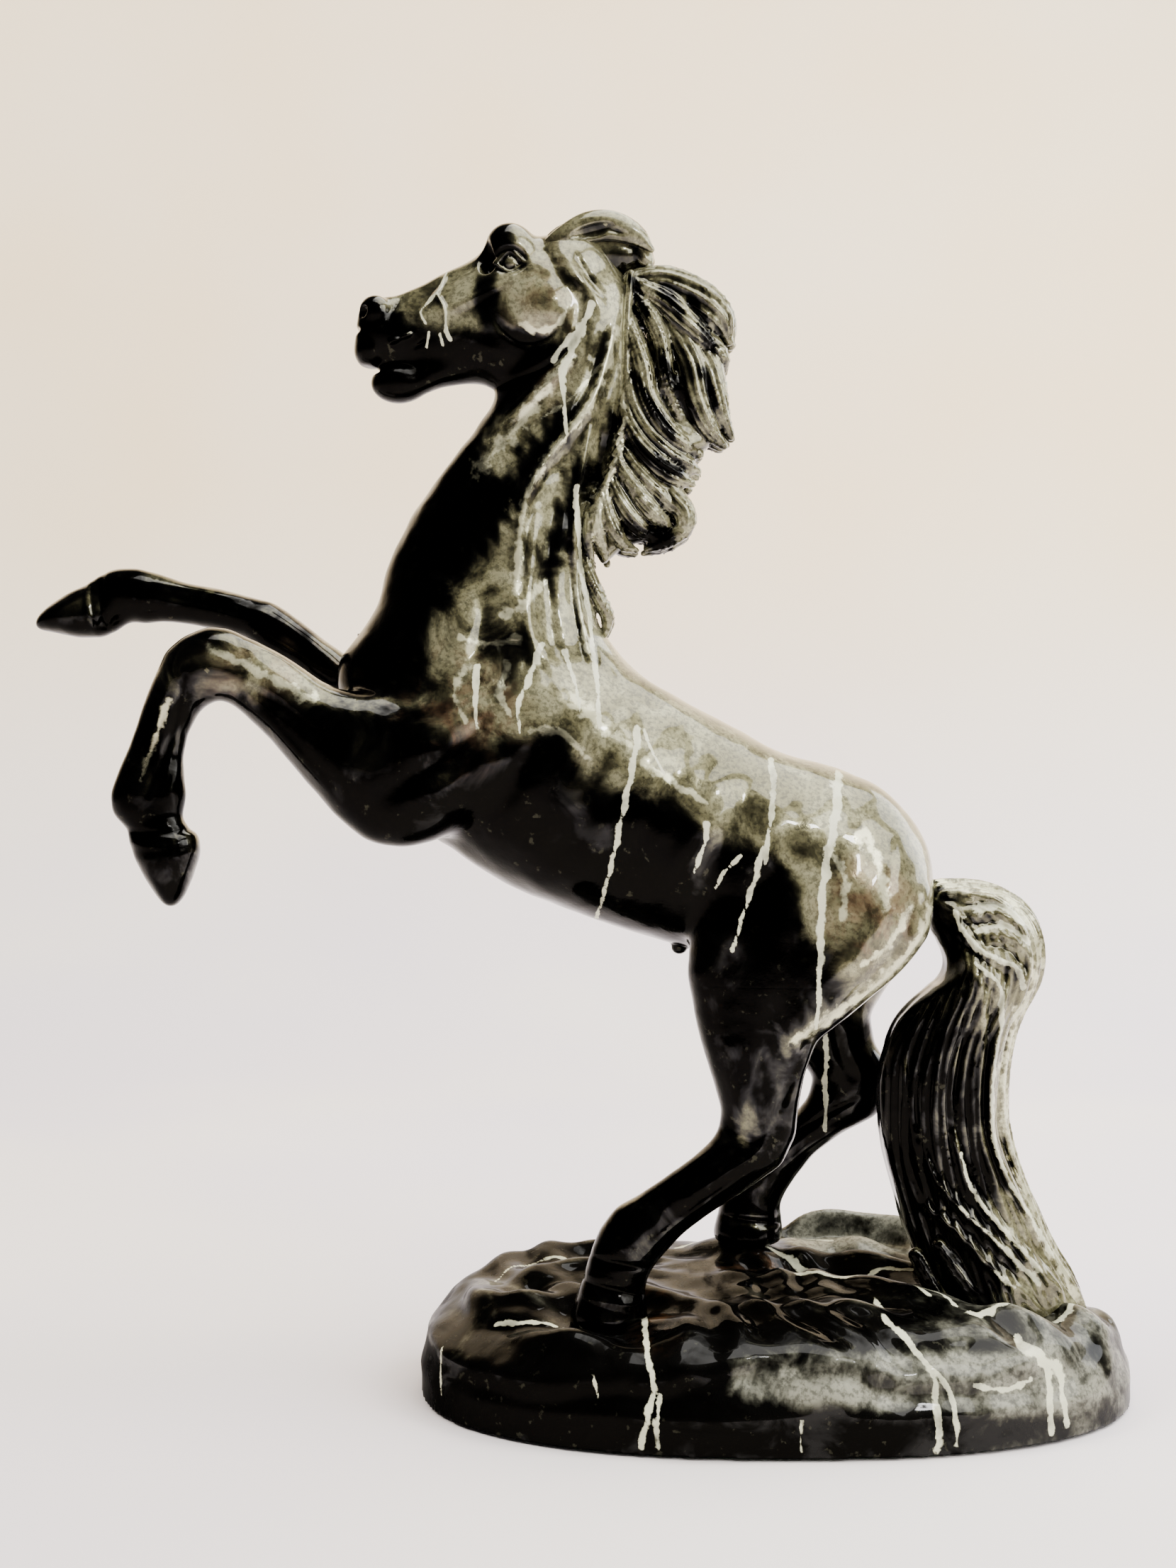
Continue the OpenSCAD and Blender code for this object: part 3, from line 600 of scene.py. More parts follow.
# Locks of the mane on the near side, mm: (x, z, half width), from root to tip, with the
# share of the way out from the neck's middle at which each one lies.
MANE_LOCKS = [
    ([(-52, 404, 3), (-40, 403, 5), (-28, 396.5, 6.4), (-20, 389, 5.6), (-16.5, 382, 2)], 0.3),
    ([(-50, 402, 2.5), (-40, 395, 4), (-31, 386, 4.2), (-24, 379.5, 3), (-20, 376, 1.5)], 0.8),
    ([(-26, 384, 3), (-21, 378, 3.2), (-18.5, 373.5, 2.6), (-18, 371, 1.2)], 0.3),
    ([(-51, 398, 2), (-45, 390, 3), (-41, 380, 3), (-39.5, 368, 3), (-36.5, 358, 2.6),
      (-31, 349, 1.4)], 0.9),
    ([(-40, 393, 3), (-34, 382, 4.5), (-30, 372, 4.8), (-28, 360, 4.4), (-23.5, 349, 3.4),
      (-18, 343.5, 1.6)], 0.62),
    ([(-30, 382, 3), (-24, 374, 4.2), (-21.5, 364, 4), (-19.5, 355, 3.4), (-15.5, 347, 1.6)], 0.34),
    ([(-53, 390, 2.4), (-50, 380, 3.2), (-47.5, 370, 3.6), (-46, 360, 3.8), (-40.5, 349.5, 4.2),
      (-33, 343, 3.6), (-27, 340.5, 1.6)], 0.84),
    ([(-54, 378, 2), (-52.5, 368, 2.8), (-51, 358, 3.2), (-46, 348, 3.6), (-38, 340, 3.8),
      (-31, 336, 3.2), (-27.5, 334.5, 1.5)], 0.66),
    ([(-54, 364, 2), (-53.5, 354, 2.8), (-49, 344, 3.4), (-42, 336, 3.8), (-35, 331.5, 3.6),
      (-30, 330, 1.8)], 0.86),
    ([(-56, 352, 2), (-54.5, 342, 2.6), (-48.5, 332.5, 3), (-41.5, 325, 3.2), (-36, 319.5, 2.6),
      (-33, 317, 1.2)], 0.66),
    ([(-57, 346, 2), (-56, 336, 2.6), (-50.5, 327, 3), (-44.5, 319, 3.2), (-39.5, 314.8, 2.4),
      (-37, 313.5, 1.2)], 0.9),
    ([(-42, 332, 3), (-36, 324, 4), (-32.5, 318.5, 3.8), (-33, 313, 3.2), (-39, 308.5, 2.4),
      (-46, 306, 1.2)], 0.4),
    ([(-59, 338, 2), (-58, 329, 2.8), (-54, 320, 3.4), (-48.5, 313, 3.4), (-43.5, 310.4, 1.6)], 0.66),
    ([(-61, 332, 2), (-61, 322, 2.6), (-58.5, 313, 3), (-55, 307.5, 2.6), (-50, 305.5, 1.2)], 0.86),
    ([(-63, 328, 2), (-64, 319, 2.6), (-63.5, 310, 2.6), (-61, 303, 1.4)], 0.9),
    ([(-65, 326, 2), (-67, 317, 2.2), (-67.5, 308, 2), (-66, 301, 1.2)], 0.8),
    ([(-70, 308, 2), (-67.5, 298, 2.6), (-63.8, 289, 2.6), (-60.2, 281.5, 2.2), (-61.2, 275, 1.2)], 0.25),
    ([(-72, 304, 2), (-71, 294, 2.6), (-68, 283, 2.6), (-64.5, 275, 1.6)], 0.25),
]
# The line where the mane grows, (x, z), and the forelock, (x, z, half width).
CREST_LINE = [
    (-52, 405), (-53.5, 386), (-53.5, 368), (-52.8, 353), (-55, 344), (-57.5, 335), (-60.5, 329),
    (-63.5, 321), (-66, 312),
]
FORELOCK = [
    (-83, 416, 3), (-77, 420, 4.4), (-68, 422.8, 5.2), (-58, 423.4, 5.8), (-50.5, 418.5, 5.6),
    (-46.5, 411, 3.5),
]


def mane():
    block = Block((-90, -19, 268), (-8, 19, 434), 0.65)
    core = solid(["mane_casting"])
    core.data = blur(core.data, 1.6 / COARSE) + 4.0
    block.data = resample(core, block)
    blob(block, (-61, 0, 414), (16, 9.5, 9), soft=3)
    rng = np.random.default_rng(11)
    for side in (-1, 1, 0):
        for i, (points, out) in enumerate(MANE_LOCKS):
            shift = rng.uniform(-1.2, 1.2, 3) * (side != -1)
            where = side * (0.55 + 0.45 * out)
            spine = []
            for k, (x, z, w) in enumerate(points):
                t = k / (len(points) - 1)
                y = where * (9.0 + 3.2 * math.sin(math.pi * t) - 2.4 * t * t)
                spine.append((x + t * shift[0], y + t * shift[1], z + t * shift[2],
                              max(0.9, 1.22 * w), max(0.9, min(1.15 * w, 4.2))))
            lock(block, spine, 11 + i % 4, 0.8, 0.5)
    for side in (-1, 1):
        ridge = [(x, side * 9.8, z, 1.5, 2.2) for x, z in CREST_LINE]
        lock(block, ridge, 3, 0.2, 0.5)
        for k in range(9):
            x, z = curve(CREST_LINE[3:], 1.0)[3 + 4 * k]
            curl = [(x + 0.5, side * 11.2, z + 2, 1.0, 1.2), (x - 3.0, side * 12.0, z - 3.0, 0.7, 1.0)]
            lock(block, curl, 2, 0.1, 0.4)
        lock(block, [(x, side * 4.2, z, w, 4.0) for x, z, w in FORELOCK], 8, 0.45, 1.0)
    lock(block, [(x, 0, z + 0.6, w * 0.9, 3.6) for x, z, w in FORELOCK], 8, 0.45, 1.0)
    blob(block, (-42.5, 0, 311), (5, 8, 5))
    block.data += 0.06 * noise(block, 2.2, 21)
    return make_piece(block, "mane_casting", rounds=2)


# The tail's two edges in side view, from root to foot, mm.
TAIL_FRONT = [
    (58, 168), (61, 158), (56, 147), (47, 136), (40, 122), (38, 104), (40, 84), (46, 62), (52, 42),
    (53, 27),
]
TAIL_BACK = [
    (58, 185), (76, 184.5), (88, 177), (95, 163), (93, 148), (86, 134), (83, 114), (86, 90), (98, 58),
    (111, 33),
]
# The bold strands on its side, mm: points (x, z), half width, height.
TAIL_STRANDS = [
    ([(56, 179), (64.8, 175), (67, 167.5), (74.5, 160), (84.3, 155.6), (87.5, 150.2),
      (85.4, 141.5)], 1.7, 1.9),
    ([(62, 166), (68, 158.8), (75.6, 152.3), (80, 145.8), (78.9, 132.8), (76.7, 119.8), (76.2, 102.5),
      (77.8, 91.6), (83.2, 78.6), (91.9, 64.5), (100.5, 50.4), (107, 40)], 2, 2.2),
    ([(61.5, 162), (70.2, 152.3), (72.9, 141.5), (72.4, 128.5), (70.7, 115.5), (70.7, 102.5),
      (72.9, 91.6), (78, 80)], 1.8, 1.8),
    ([(62, 96), (64.8, 89.5), (68, 78.6), (74.5, 68.9), (83.2, 59.1), (94, 47.2),
      (104.9, 36.4)], 1.7, 2.3),
    ([(50, 96), (51.8, 88.4), (57.2, 78.6), (65.9, 68.9), (74.5, 61.3), (83.2, 52.6),
      (93, 42.9)], 1.9, 2.1),
    ([(48, 80), (51.8, 71), (61.5, 63.5), (69.1, 55.9), (77.8, 47.2), (87.5, 39.6)], 1.9, 2),
    ([(46, 132), (45.3, 122), (46.4, 106.8), (47.4, 91.6), (51, 74)], 1.4, 0.9),
    ([(60, 140), (57, 124), (56, 106), (58, 88)], 1.5, 0.8),
    ([(66, 146), (66, 128), (63, 110), (62, 92)], 1.3, -1.4),
    ([(76, 144), (75, 128), (73.6, 112), (74, 96), (80, 80), (90, 62)], 1.1, -1.6),
    ([(58, 181), (70, 181.5), (79, 179.5), (87, 174)], 1.5, 1),
    ([(66, 173), (78.9, 174.6), (87.5, 170), (92, 162)], 1.5, 1.1),
    ([(69.1, 166.4), (81, 167), (89, 161), (91.5, 152)], 1.5, 1.2),
    ([(66, 176.6), (78, 177.6), (86, 173.6)], 0.9, -1.1),
    ([(68, 170), (80, 170.6), (88.5, 165)], 0.9, -1.1), ([(72, 163), (82, 161.6), (88, 154)], 1, -1.2),
    ([(84, 128), (81.5, 110), (84, 92), (91, 74), (101, 54)], 1.3, 1.2),
    ([(80, 124), (79, 108), (81, 92), (88, 75)], 0.9, -1.2),
]
# Curled ends at the foot of the tail: (x, z, half width) and how far out they lie.
TAIL_ENDS = [
    ([(82, 56, 3), (92, 46, 4), (101, 37, 3.8), (107, 30, 3), (110, 26, 1.5)], -15),
    ([(70, 56, 3), (80, 45, 4), (89, 36, 4), (95, 29, 3), (97, 25, 1.5)], -19),
    ([(58, 56, 3), (66, 44, 4), (72, 35, 4), (78, 28, 3.2), (82, 25, 1.5)], -20),
    ([(50, 52, 3), (55, 42, 3.6), (60, 33, 3.6), (67, 27, 2)], -18),
    ([(92, 58, 2.6), (100, 47, 3.6), (107, 38, 3.6), (111, 31, 2.8), (113, 27, 1.4)], -6),
    ([(82, 56, 3), (92, 46, 4), (100, 37, 3.8), (106, 30, 3), (109, 26, 1.5)], 11),
    ([(68, 56, 3), (78, 45, 4), (88, 36, 4), (94, 29, 3), (97, 25, 1.5)], 16),
    ([(56, 54, 3), (62, 43, 4), (70, 34, 4), (77, 27, 2)], 15),
]


def fan(front, back, count):
    """Fine hair lines laid between the two edges of the tail."""
    a, b = np.array(front, float), np.array(back, float)
    rng = np.random.default_rng(7)
    lines = []
    for i in range(count):
        f = (i + 0.5) / count
        sway = rng.uniform(-0.015, 0.015, (len(a), 1))
        height = (0.55 if i % 2 else -0.75) * rng.uniform(0.7, 1.2)
        lines.append(([tuple(p) for p in a + (f + sway) * (b - a)], 1.0, height))
    return lines


def tail():
    block = Block((30, -30, 20), (120, 26, 192), 0.62)
    form = solid(["tail_casting"])
    form.data = blur(form.data, 1.8 / COARSE)
    block.data = resample(form, block)
    emboss(block, TAIL_STRANDS + fan(TAIL_FRONT, TAIL_BACK, 26))
    for points, y in TAIL_ENDS:
        lock(block, [(x, y * (0.8 + 0.2 * k / len(points)), z, w, 0.9 * w)
                     for k, (x, z, w) in enumerate(points)], 8, 0.5, 1.2)
    from_back = nearest(block.x[:, :, 0], block.z[0], curve(TAIL_BACK, 3.0))[0]
    combed = np.sin(1.9 * block.y + 1.6 * noise(block, 22.0, 33))
    block.data += 0.55 * combed * (1 - step_up(from_back, 2, 9))[:, None, :]
    block.data += 0.08 * noise(block, 2.4, 31)
    return make_piece(block, "tail_casting", rounds=2)


# ---------------------------------------------------------------- the rock base

BASE_LOW, BASE_HIGH = [[v / MM for v in corner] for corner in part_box("base_casting")]
FELT_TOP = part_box("felt_pad")[1][2] / MM
COVER_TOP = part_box("base_cover")[1][2] / MM
ROCK_HEIGHT = 41.0    # from the table to the level top, mm
RIM = 5.0             # width of the rock's foot round the cover, mm
SHARE_MM = 62         # what one share of the oval is worth near its edge, mm
FIT = 0.3             # gap above the cover, mm
# Share of the oval against share of the height, from the foot of the rock to its top.
ROCK_PROFILE = [
    (1, 0), (1, 0.25), (0.995, 0.4), (0.975, 0.55), (0.93, 0.7), (0.86, 0.83), (0.76, 0.92),
    (0.62, 0.975), (0.44, 1), (0.24, 1), (0, 1),
]
# Waves worked into the top, drawn in plan view, mm: points (x, y), half width, height.
ROCK_WAVES = [
    ([(2, 52), (20, 57), (40, 55), (58, 46), (70, 34)], 6.5, 15),
    ([(-60, 50), (-82, 44), (-102, 32), (-114, 16)], 8, 6),
    ([(6, 40), (24, 42), (42, 38), (56, 26)], 5, 3.2), ([(0, 48), (20, 50), (38, 47), (54, 38)], 3, -3),
    ([(8, 28), (26, 30), (42, 24), (58, 12)], 4, -3.4),
    ([(2, 14), (22, 18), (40, 12), (58, 0), (70, -12)], 5, 4),
    ([(-8, 4), (14, 6), (34, 0), (52, -12)], 4, -3.4),
    ([(-26, -6), (-4, -8), (18, -8), (40, -20), (58, -30)], 5, 3.4),
    ([(-34, -24), (-10, -24), (14, -24), (36, -34), (60, -42)], 3.6, -2.6),
    ([(-30, -38), (-4, -38), (22, -40), (50, -50)], 4.5, 2.4),
    ([(-30, 30), (-48, 38), (-70, 40), (-90, 30)], 5, 3.4),
    ([(-34, 16), (-54, 24), (-76, 24), (-94, 14)], 3.6, -2.8),
    ([(-36, 2), (-58, 10), (-80, 8), (-98, -4)], 4.5, 3.2),
    ([(-60, -4), (-82, -6), (-100, -16)], 3.4, -2.6),
    ([(-74, -20), (-90, -20), (-106, -12), (-114, 4)], 4, 2.8),
    ([(-74, -40), (-90, -36), (-104, -28)], 3.2, -2.4), ([(-50, -46), (-70, -50), (-88, -46)], 4, 2.2),
    ([(84, 34), (98, 24), (110, 8)], 5, 2.6), ([(70, 50), (88, 44), (104, 30)], 4, -2.2),
    ([(92, -10), (104, -18), (112, -30)], 4, 2.6), ([(70, -34), (84, -38), (98, -36)], 4.5, 2.8),
    ([(62, -22), (76, -28), (92, -28)], 3, -2.4),
]


def oval_share(x, y):
    """How far out a point of the plan lies: 1 on the foot of the rock."""
    a, b = (BASE_HIGH[0] - BASE_LOW[0]) / 2, (BASE_HIGH[1] - BASE_LOW[1]) / 2
    power = 2 / 0.86
    return (np.abs(x / a) ** power + np.abs(y / b) ** power) ** (1 / power)


def rock_field(block):
    rows = np.array(ROCK_PROFILE)
    place = np.linspace(0, len(rows) - 1, 200)
    share, height = [np.interp(place, np.arange(len(rows)), rows[:, k]) for k in (0, 1)]
    share, height = [np.convolve(np.pad(v, 7, mode="edge"), np.ones(15) / 15, "valid")
                     for v in (share, height)]
    height = height * ROCK_HEIGHT
    rho = oval_share(block.x, block.y)
    radius = np.sqrt(block.x ** 2 + block.y ** 2) / np.maximum(rho, 1e-3)
    top = np.where(rho < 1, np.interp(-rho, -share, height), -60)
    reach = np.interp(block.z, height, share, left=1.0, right=-1.0)
    down = block.z - top
    out = (rho - reach) * radius
    gap = np.abs(down * out) / np.sqrt(down ** 2 + out ** 2 + 1e-6)
    return np.where((down < 0) & (out < 0), -gap, gap).astype(np.float32)


def base():
    block = Block((BASE_LOW[0] - 4, BASE_LOW[1] - 4, -1), (BASE_HIGH[0] + 4, BASE_HIGH[1] + 4, 56), 1.1)
    block.data = rock_field(block)
    blob(block, (-7, 26, 34), (23, 19, 12.5), soft=7)
    blob(block, (-62, -40, 47), (30, 22, 15.5), 0, 7, cut=True)
    blob(block, (88, -8, 47), (30, 24, 17), 0, 8, cut=True)
    blob(block, (118, 6, 52), (30, 50, 22), 0, 9, cut=True)
    waves = stroke_map(block.x.ravel(), block.y.ravel(), ROCK_WAVES)
    warp_x = 5 * noise(block, 26.0, 41)
    on_top = step_up(block.z, 18, 36)
    block.data -= waves[:, :, None] * on_top
    side = 1 - step_up(block.z, 30, 42)
    low_band = step_up(block.z, 8, 13)
    strata = np.sin((block.z + 0.9 * warp_x + 8 * noise(block, (40, 40, 16), 42)) * 0.42)
    block.data += 1.0 * strata * side * low_band
    lumps = noise(block, (17, 17, 9), 43) + 0.5 * np.abs(noise(block, (9, 9, 5), 44))
    block.data -= 2.1 * lumps * low_band * (0.3 + 0.7 * side)
    swirl = np.sin(0.24 * (block.x + 0.5 * block.y) + 1.0 * warp_x + 3.0 * noise(block, 24.0, 45))
    block.data += (1.0 * swirl - 0.7 * lumps) * on_top + 0.12 * noise(block, 3.6, 46)
    block.data = blur(block.data, 0.9)
    recess = np.maximum((oval_share(block.x, block.y) - 1) * SHARE_MM + RIM,
                        block.z - COVER_TOP - FIT)
    block.data = np.maximum(block.data, -recess)
    block.data = np.maximum(block.data, FELT_TOP - 0.4 - block.z)
    return make_piece(block, "base_casting", rounds=2)


# ---------------------------------------------------------------- paint

# Runs of pale patina in side view, mm: points (x, z), half width at the top, at the foot.
NEAR_DRIPS = [
    ([(-50, 240), (-52, 226), (-56, 208), (-60, 190), (-64.5, 172)], 1.7, 0.8),
    ([(-48, 240), (-45, 232), (-41, 224)], 1.2, 0.6),
    ([(-2, 229), (-2.6, 216), (-4.6, 204), (-6, 193)], 1.7, 0.8),
    ([(22, 223), (18.6, 206), (14.6, 188), (13.2, 172), (12.2, 148), (12, 136)], 2.6, 1.1),
    ([(-7, 198), (-10, 186), (-14, 174), (-17.4, 163)], 1.5, 0.8),
    ([(-26, 207), (-27.6, 198), (-31, 189)], 1.4, 0.7), ([(-14, 196), (-20, 190), (-23, 184)], 1, 0.6),
    ([(-71.7, 327), (-70.4, 304), (-67, 280), (-64.6, 260), (-63.3, 240)], 1.5, 1),
    ([(-70, 384), (-74, 374), (-77, 366), (-75.8, 356), (-75, 345)], 2.6, 0.7),
    ([(-66, 392), (-70, 384), (-76, 378), (-80, 372)], 1.6, 1.6),
    ([(-119, 407), (-121.5, 400), (-125, 395), (-128, 391), (-126, 387)], 0.7, 0.7),
    ([(-122, 398), (-119, 392), (-118.5, 384), (-117, 381)], 0.6, 1),
    ([(-125, 384), (-126, 379)], 0.7, 0.5), ([(-121, 383), (-120, 379)], 0.8, 0.5),
    ([(-84, 270), (-88, 258), (-92, 248), (-91, 238)], 1.8, 0.8),
    ([(-106, 262), (-107, 250), (-106, 240)], 1.6, 0.8), ([(-76, 268), (-72, 256), (-70, 246)], 1.4, 0.7),
]
FAR_DRIPS = [
    ([(-40, 238), (-44, 214), (-50, 190), (-54, 176)], 1.6, 0.8),
    ([(8, 228), (6, 210), (0, 190), (-2, 176)], 1.8, 0.9),
    ([(30, 220), (28, 196), (22, 170), (21, 140), (22, 112), (22, 90)], 2.2, 1),
    ([(-72, 322), (-72, 296), (-68, 268), (-66, 246)], 1.5, 1),
    ([(-74, 372), (-78, 356), (-80, 340)], 1.6, 0.8), ([(-96, 262), (-100, 246), (-101, 232)], 1.6, 0.8),
]
# Painted highlight along the back edge of the tail, and the pale paint on its strands.
TAIL_PAINTED_HIGHLIGHT = [
    ([(58, 184), (76, 183), (88, 176), (94, 163), (92, 148), (86, 134), (83, 114), (86, 90), (98, 58),
      (110, 34)], 4.4, 3.8),
]
TAIL_PALE = [
    ([(64.8, 175), (67, 167.5), (74.5, 160), (84.3, 155.6), (87, 148)], 1.6, 1.6),
    ([(70, 157), (78, 150), (79.5, 140), (78.4, 128), (76.7, 116), (76.2, 102.5), (77.8, 91.6),
      (83.2, 78.6), (91.9, 64.5), (100.5, 50.4)], 1.4, 1.6),
    ([(64.8, 89.5), (68, 78.6), (74.5, 68.9), (83.2, 59.1), (94, 47.2)], 1, 1.8),
    ([(51.8, 88.4), (57.2, 78.6), (65.9, 68.9), (74.5, 61.3), (83.2, 52.6), (93, 42.9)], 0.8, 1.8),
    ([(66, 60), (74, 50), (84, 42)], 1, 2), ([(66, 30), (72, 33), (80, 30)], 3, 2),
    ([(72, 176), (80, 177), (88, 172)], 3, 3), ([(72, 168), (82, 170), (90, 164)], 2, 2),
]
# Outline of the painted light: paler patina where the light falls on the face, cheek, back of the neck,
# barrel and croup, down to the reflection horizon on the barrel.
PAINTED_LIGHT_AREA = [
    (-137, 440), (-137, 400), (-134, 388), (-124, 385.6), (-109, 382.2), (-95, 384.2), (-83, 379.4),
    (-78, 372), (-92, 358), (-106, 342), (-98, 321), (-109, 299), (-124, 274), (-122, 240), (-98, 236),
    (-81, 237), (-66, 223), (-40, 212.6), (-29.5, 204.5), (-10, 197), (2, 186), (8, 170), (20, 150),
    (26, 132), (70, 150), (130, 200), (130, 440),
]
# Light along the folds of the neck.
NECK_LIGHTS = [
    ([(-57, 384), (-60, 374), (-66, 358), (-77, 343), (-86, 330), (-91, 314), (-93, 290)], 1.8, 2.2),
    ([(-74, 372), (-82, 363), (-93, 348), (-106, 334)], 2, 3.6),
    ([(-63, 371), (-73, 359), (-84, 351)], 0.8, 0.7),
    ([(-54, 405), (-55, 388), (-55.5, 370), (-54.5, 356)], 1, 1),
    ([(-54.5, 352), (-57, 338), (-60, 330), (-63, 320), (-65.5, 309)], 1.3, 1.5),
    ([(-72, 292), (-70, 280), (-68, 268)], 1, 1.3),
]
# Painted shade in the hollows between the folds of the neck and the locks of the mane.
NECK_PAINTED_SHADE = [
    ([(-67, 334), (-71, 324), (-77, 311), (-83, 295)], 5.5, 6),
    ([(-72, 356), (-82, 342), (-92, 329), (-109, 311)], 4, 7),
    ([(-58, 352), (-62, 340), (-66, 330)], 2.4, 3),
    ([(-86, 373), (-96, 367), (-108, 352), (-116, 338)], 4, 5),
]
MANE_PAINTED_SHADE = [
    ([(-52, 402), (-47, 391)], 2, 2.6), ([(-41, 399), (-35, 390)], 2.2, 2.6),
    ([(-30, 393), (-26, 386), (-22, 379)], 3, 3.4), ([(-51, 368), (-45, 357), (-37, 347)], 1.8, 2.2),
    ([(-53, 343), (-42, 336), (-35, 333)], 2, 2.6), ([(-54, 313), (-47, 310.5), (-41, 309.5)], 3, 3.6),
    ([(-40, 372), (-34, 362), (-30, 352)], 1.6, 2), ([(-26, 370), (-22, 358)], 1.6, 2),
]
# Painted highlight along the back edge of the thigh and the hock.
THIGH_PAINTED_HIGHLIGHT = [
    ([(54, 178), (47, 163), (34, 150), (19, 141), (4, 132)], 6.5, 5),
    ([(-8, 128), (-12, 112), (-14, 98)], 3, 4),
]
# Glints on the shoulder, the barrel, the croup, the cheek and the near foreleg.
SHOULDER_LIGHTS = [
    ([(-84, 292), (-90, 284), (-98, 280)], 2.6, 1.6), ([(-92, 272), (-102, 270), (-112, 272)], 2, 1.6),
    ([(-96, 262), (-98, 252), (-94, 244)], 2.4, 1.4), ([(-110, 262), (-114, 252), (-110, 242)], 1.8, 1),
    ([(-72, 250), (-62, 240), (-52, 234)], 3, 1.8), ([(-86, 240), (-76, 238), (-68, 230)], 2, 1.2),
    ([(-48, 228), (-36, 220), (-26, 214)], 2, 1.4), ([(28, 204), (34, 192), (36, 178)], 3.4, 2),
    ([(18, 196), (22, 186), (20, 174)], 2.2, 1.2), ([(44, 176), (38, 166), (28, 158)], 2.2, 1.4),
    ([(54, 176), (46, 162), (32, 149), (18, 140), (4, 131)], 3, 2.4),
    ([(-92, 385), (-85, 382.6), (-78, 385), (-74.5, 391)], 1.3, 0.9),
    ([(-164, 250), (-182, 260), (-200, 268)], 2.6, 1.6),
    ([(-214, 250), (-219, 236), (-224, 222)], 1.5, 0.9),
]
# Soft round patches of rust, and of painted light and shade on the patina, mm: strength, centre, radii.
WARM_PATCHES = [
    (0.9, (-112, 0, 244), (34, 90, 34)), (0.4, (-84, 0, 384), (20, 60, 44)),
    (0.7, (30, -20, 176), (26, 60, 26)), (0.5, (-180, 0, 262), (40, 60, 26)),
]
PAINTED_LIGHT_AND_SHADE_PATCHES = [
    (-0.35, (-104, 0, 262), (30, 60, 26)), (-0.75, (-104, 0, 402), (7, 60, 24)),
    (-0.4, (-8, 0, 176), (22, 60, 20)), (-0.8, (-99, 0, 417), (9, 60, 10)),
    (-0.5, (-95, 0, 407), (10, 60, 8)), (0.5, (-84, 0, 392), (13, 60, 12)),
    (0.75, (-186, -24, 260), (44, 34, 17)), (-0.9, (-140, 0, 372), (26, 60, 20)),
    (-0.5, (-150, 0, 392), (11, 60, 12)), (0.25, (-62, 0, 421), (18, 60, 9)),
]
ROCK_WARM = [(0.8, (-44, -40, 36), (14, 26, 18)), (0.8, (-6, 4, 44), (24, 10, 14))]
# Patches of painted light and shade on the rock's patina, mm: strength, centre, radii.
ROCK_PAINTED_LIGHT_AND_SHADE = [
    (0.4, (-108, -10, 30), (34, 60, 26)), (1.2, (34, 44, 44), (44, 26, 24)),
    (1.05, (24, -66, 25), (84, 30, 13)), (0.6, (84, -60, 20), (40, 30, 16)),
    (-0.35, (-60, -70, 24), (50, 30, 20)),
]
PALE_ZERO = 0.3       # what the pale attribute holds where no light or shade is painted on the patina
# Runs of pale patina down the front of the rock, (x, z), and streaks across its top, (x, y).
BASE_DRIPS = [
    ([(-47, 40), (-48, 32), (-46, 22), (-48, 14), (-50, 4)], 1.2, 1.4),
    ([(-44, 20), (-45, 12), (-45, 4)], 0.9, 1),
    ([(33, 40), (40, 34), (46, 26), (47, 16), (47, 3)], 1.2, 1.6),
    ([(44, 30), (51, 22), (53, 12), (53, 4)], 0.9, 1.3),
    ([(78, 32), (86, 27), (87, 18), (87, 4)], 2, 1.4),
    ([(84, 27), (91, 24), (92, 14), (93, 6)], 2.4, 1.2), ([(60, 22), (72, 20), (80, 22)], 1.2, 1.4),
    ([(2, 14), (2, 4)], 0.6, 0.8), ([(-118, 30), (-119, 18), (-118.5, 8)], 0.7, 0.5),
    ([(-66, 26), (-64, 18)], 0.6, 0.9),
]
TOP_STREAKS = [
    ([(-2, 20), (14, 8), (30, -2), (44, -14), (52, -30)], 1.8, 1.2),
    ([(8, -8), (26, -12), (44, -14), (60, -12)], 1.6, 0.8), ([(30, -2), (40, 4), (52, 0)], 1.4, 0.7),
    ([(44, -14), (56, -24), (60, -36)], 1.2, 1.4), ([(-34, 36), (-14, 42), (8, 44), (28, 40)], 1.4, 0.8),
    ([(64, -40), (78, -34), (92, -30)], 3, 1.6), ([(96, -30), (104, -20), (110, -6)], 2, 1.4),
    ([(-70, 30), (-90, 22), (-102, 6)], 1.2, 0.7), ([(-100, -28), (-86, -34), (-70, -36)], 1, 0.7),
]


def vertices(piece):
    """The corners of a piece's mesh, mm."""
    points = np.empty(len(piece.data.vertices) * 3, np.float32)
    piece.data.vertices.foreach_get("co", points)
    return points.reshape(-1, 3) / MM


def painted(points, strokes, up=2):
    """Closeness to strokes in side view, or in plan with up=1: 1 on one, 0 twice its width away."""
    total = np.zeros(len(points), np.float32)
    u, v = points[:, 0], points[:, up]
    for line, start, end in strokes:
        path = curve(line, 1.5)
        wide = max(start, end) * 2.6
        near = ((u > path[:, 0].min() - wide) & (u < path[:, 0].max() + wide)
                & (v > path[:, 1].min() - wide) & (v < path[:, 1].max() + wide))
        if not near.any():
            continue
        gap, along, _ = nearest(u[near], v[near], path)
        half = 0.72 * (start + (end - start) * along) * (1 + 0.3 * np.sin(0.35 * v[near] + u[near]))
        total[near] = np.maximum(total[near], np.clip(1 - 0.5 * gap / half, 0, 1))
    return total


def within(points, outline, soft):
    """1 inside a closed outline drawn in side view, 0 outside, with a soft edge."""
    u, v = points[:, 0], points[:, 2]
    ring = curve(outline, 3.0)
    ring = np.vstack([ring, ring[:1]])
    inside = np.zeros(len(points), bool)
    for (u0, v0), (u1, v1) in zip(ring[:-1], ring[1:]):
        if v0 != v1:
            inside ^= ((v0 > v) != (v1 > v)) & (u < u0 + (v - v0) * (u1 - u0) / (v1 - v0))
    gap = nearest(u, v, ring)[0]
    return step_up(np.where(inside, gap, -gap), -soft, soft)


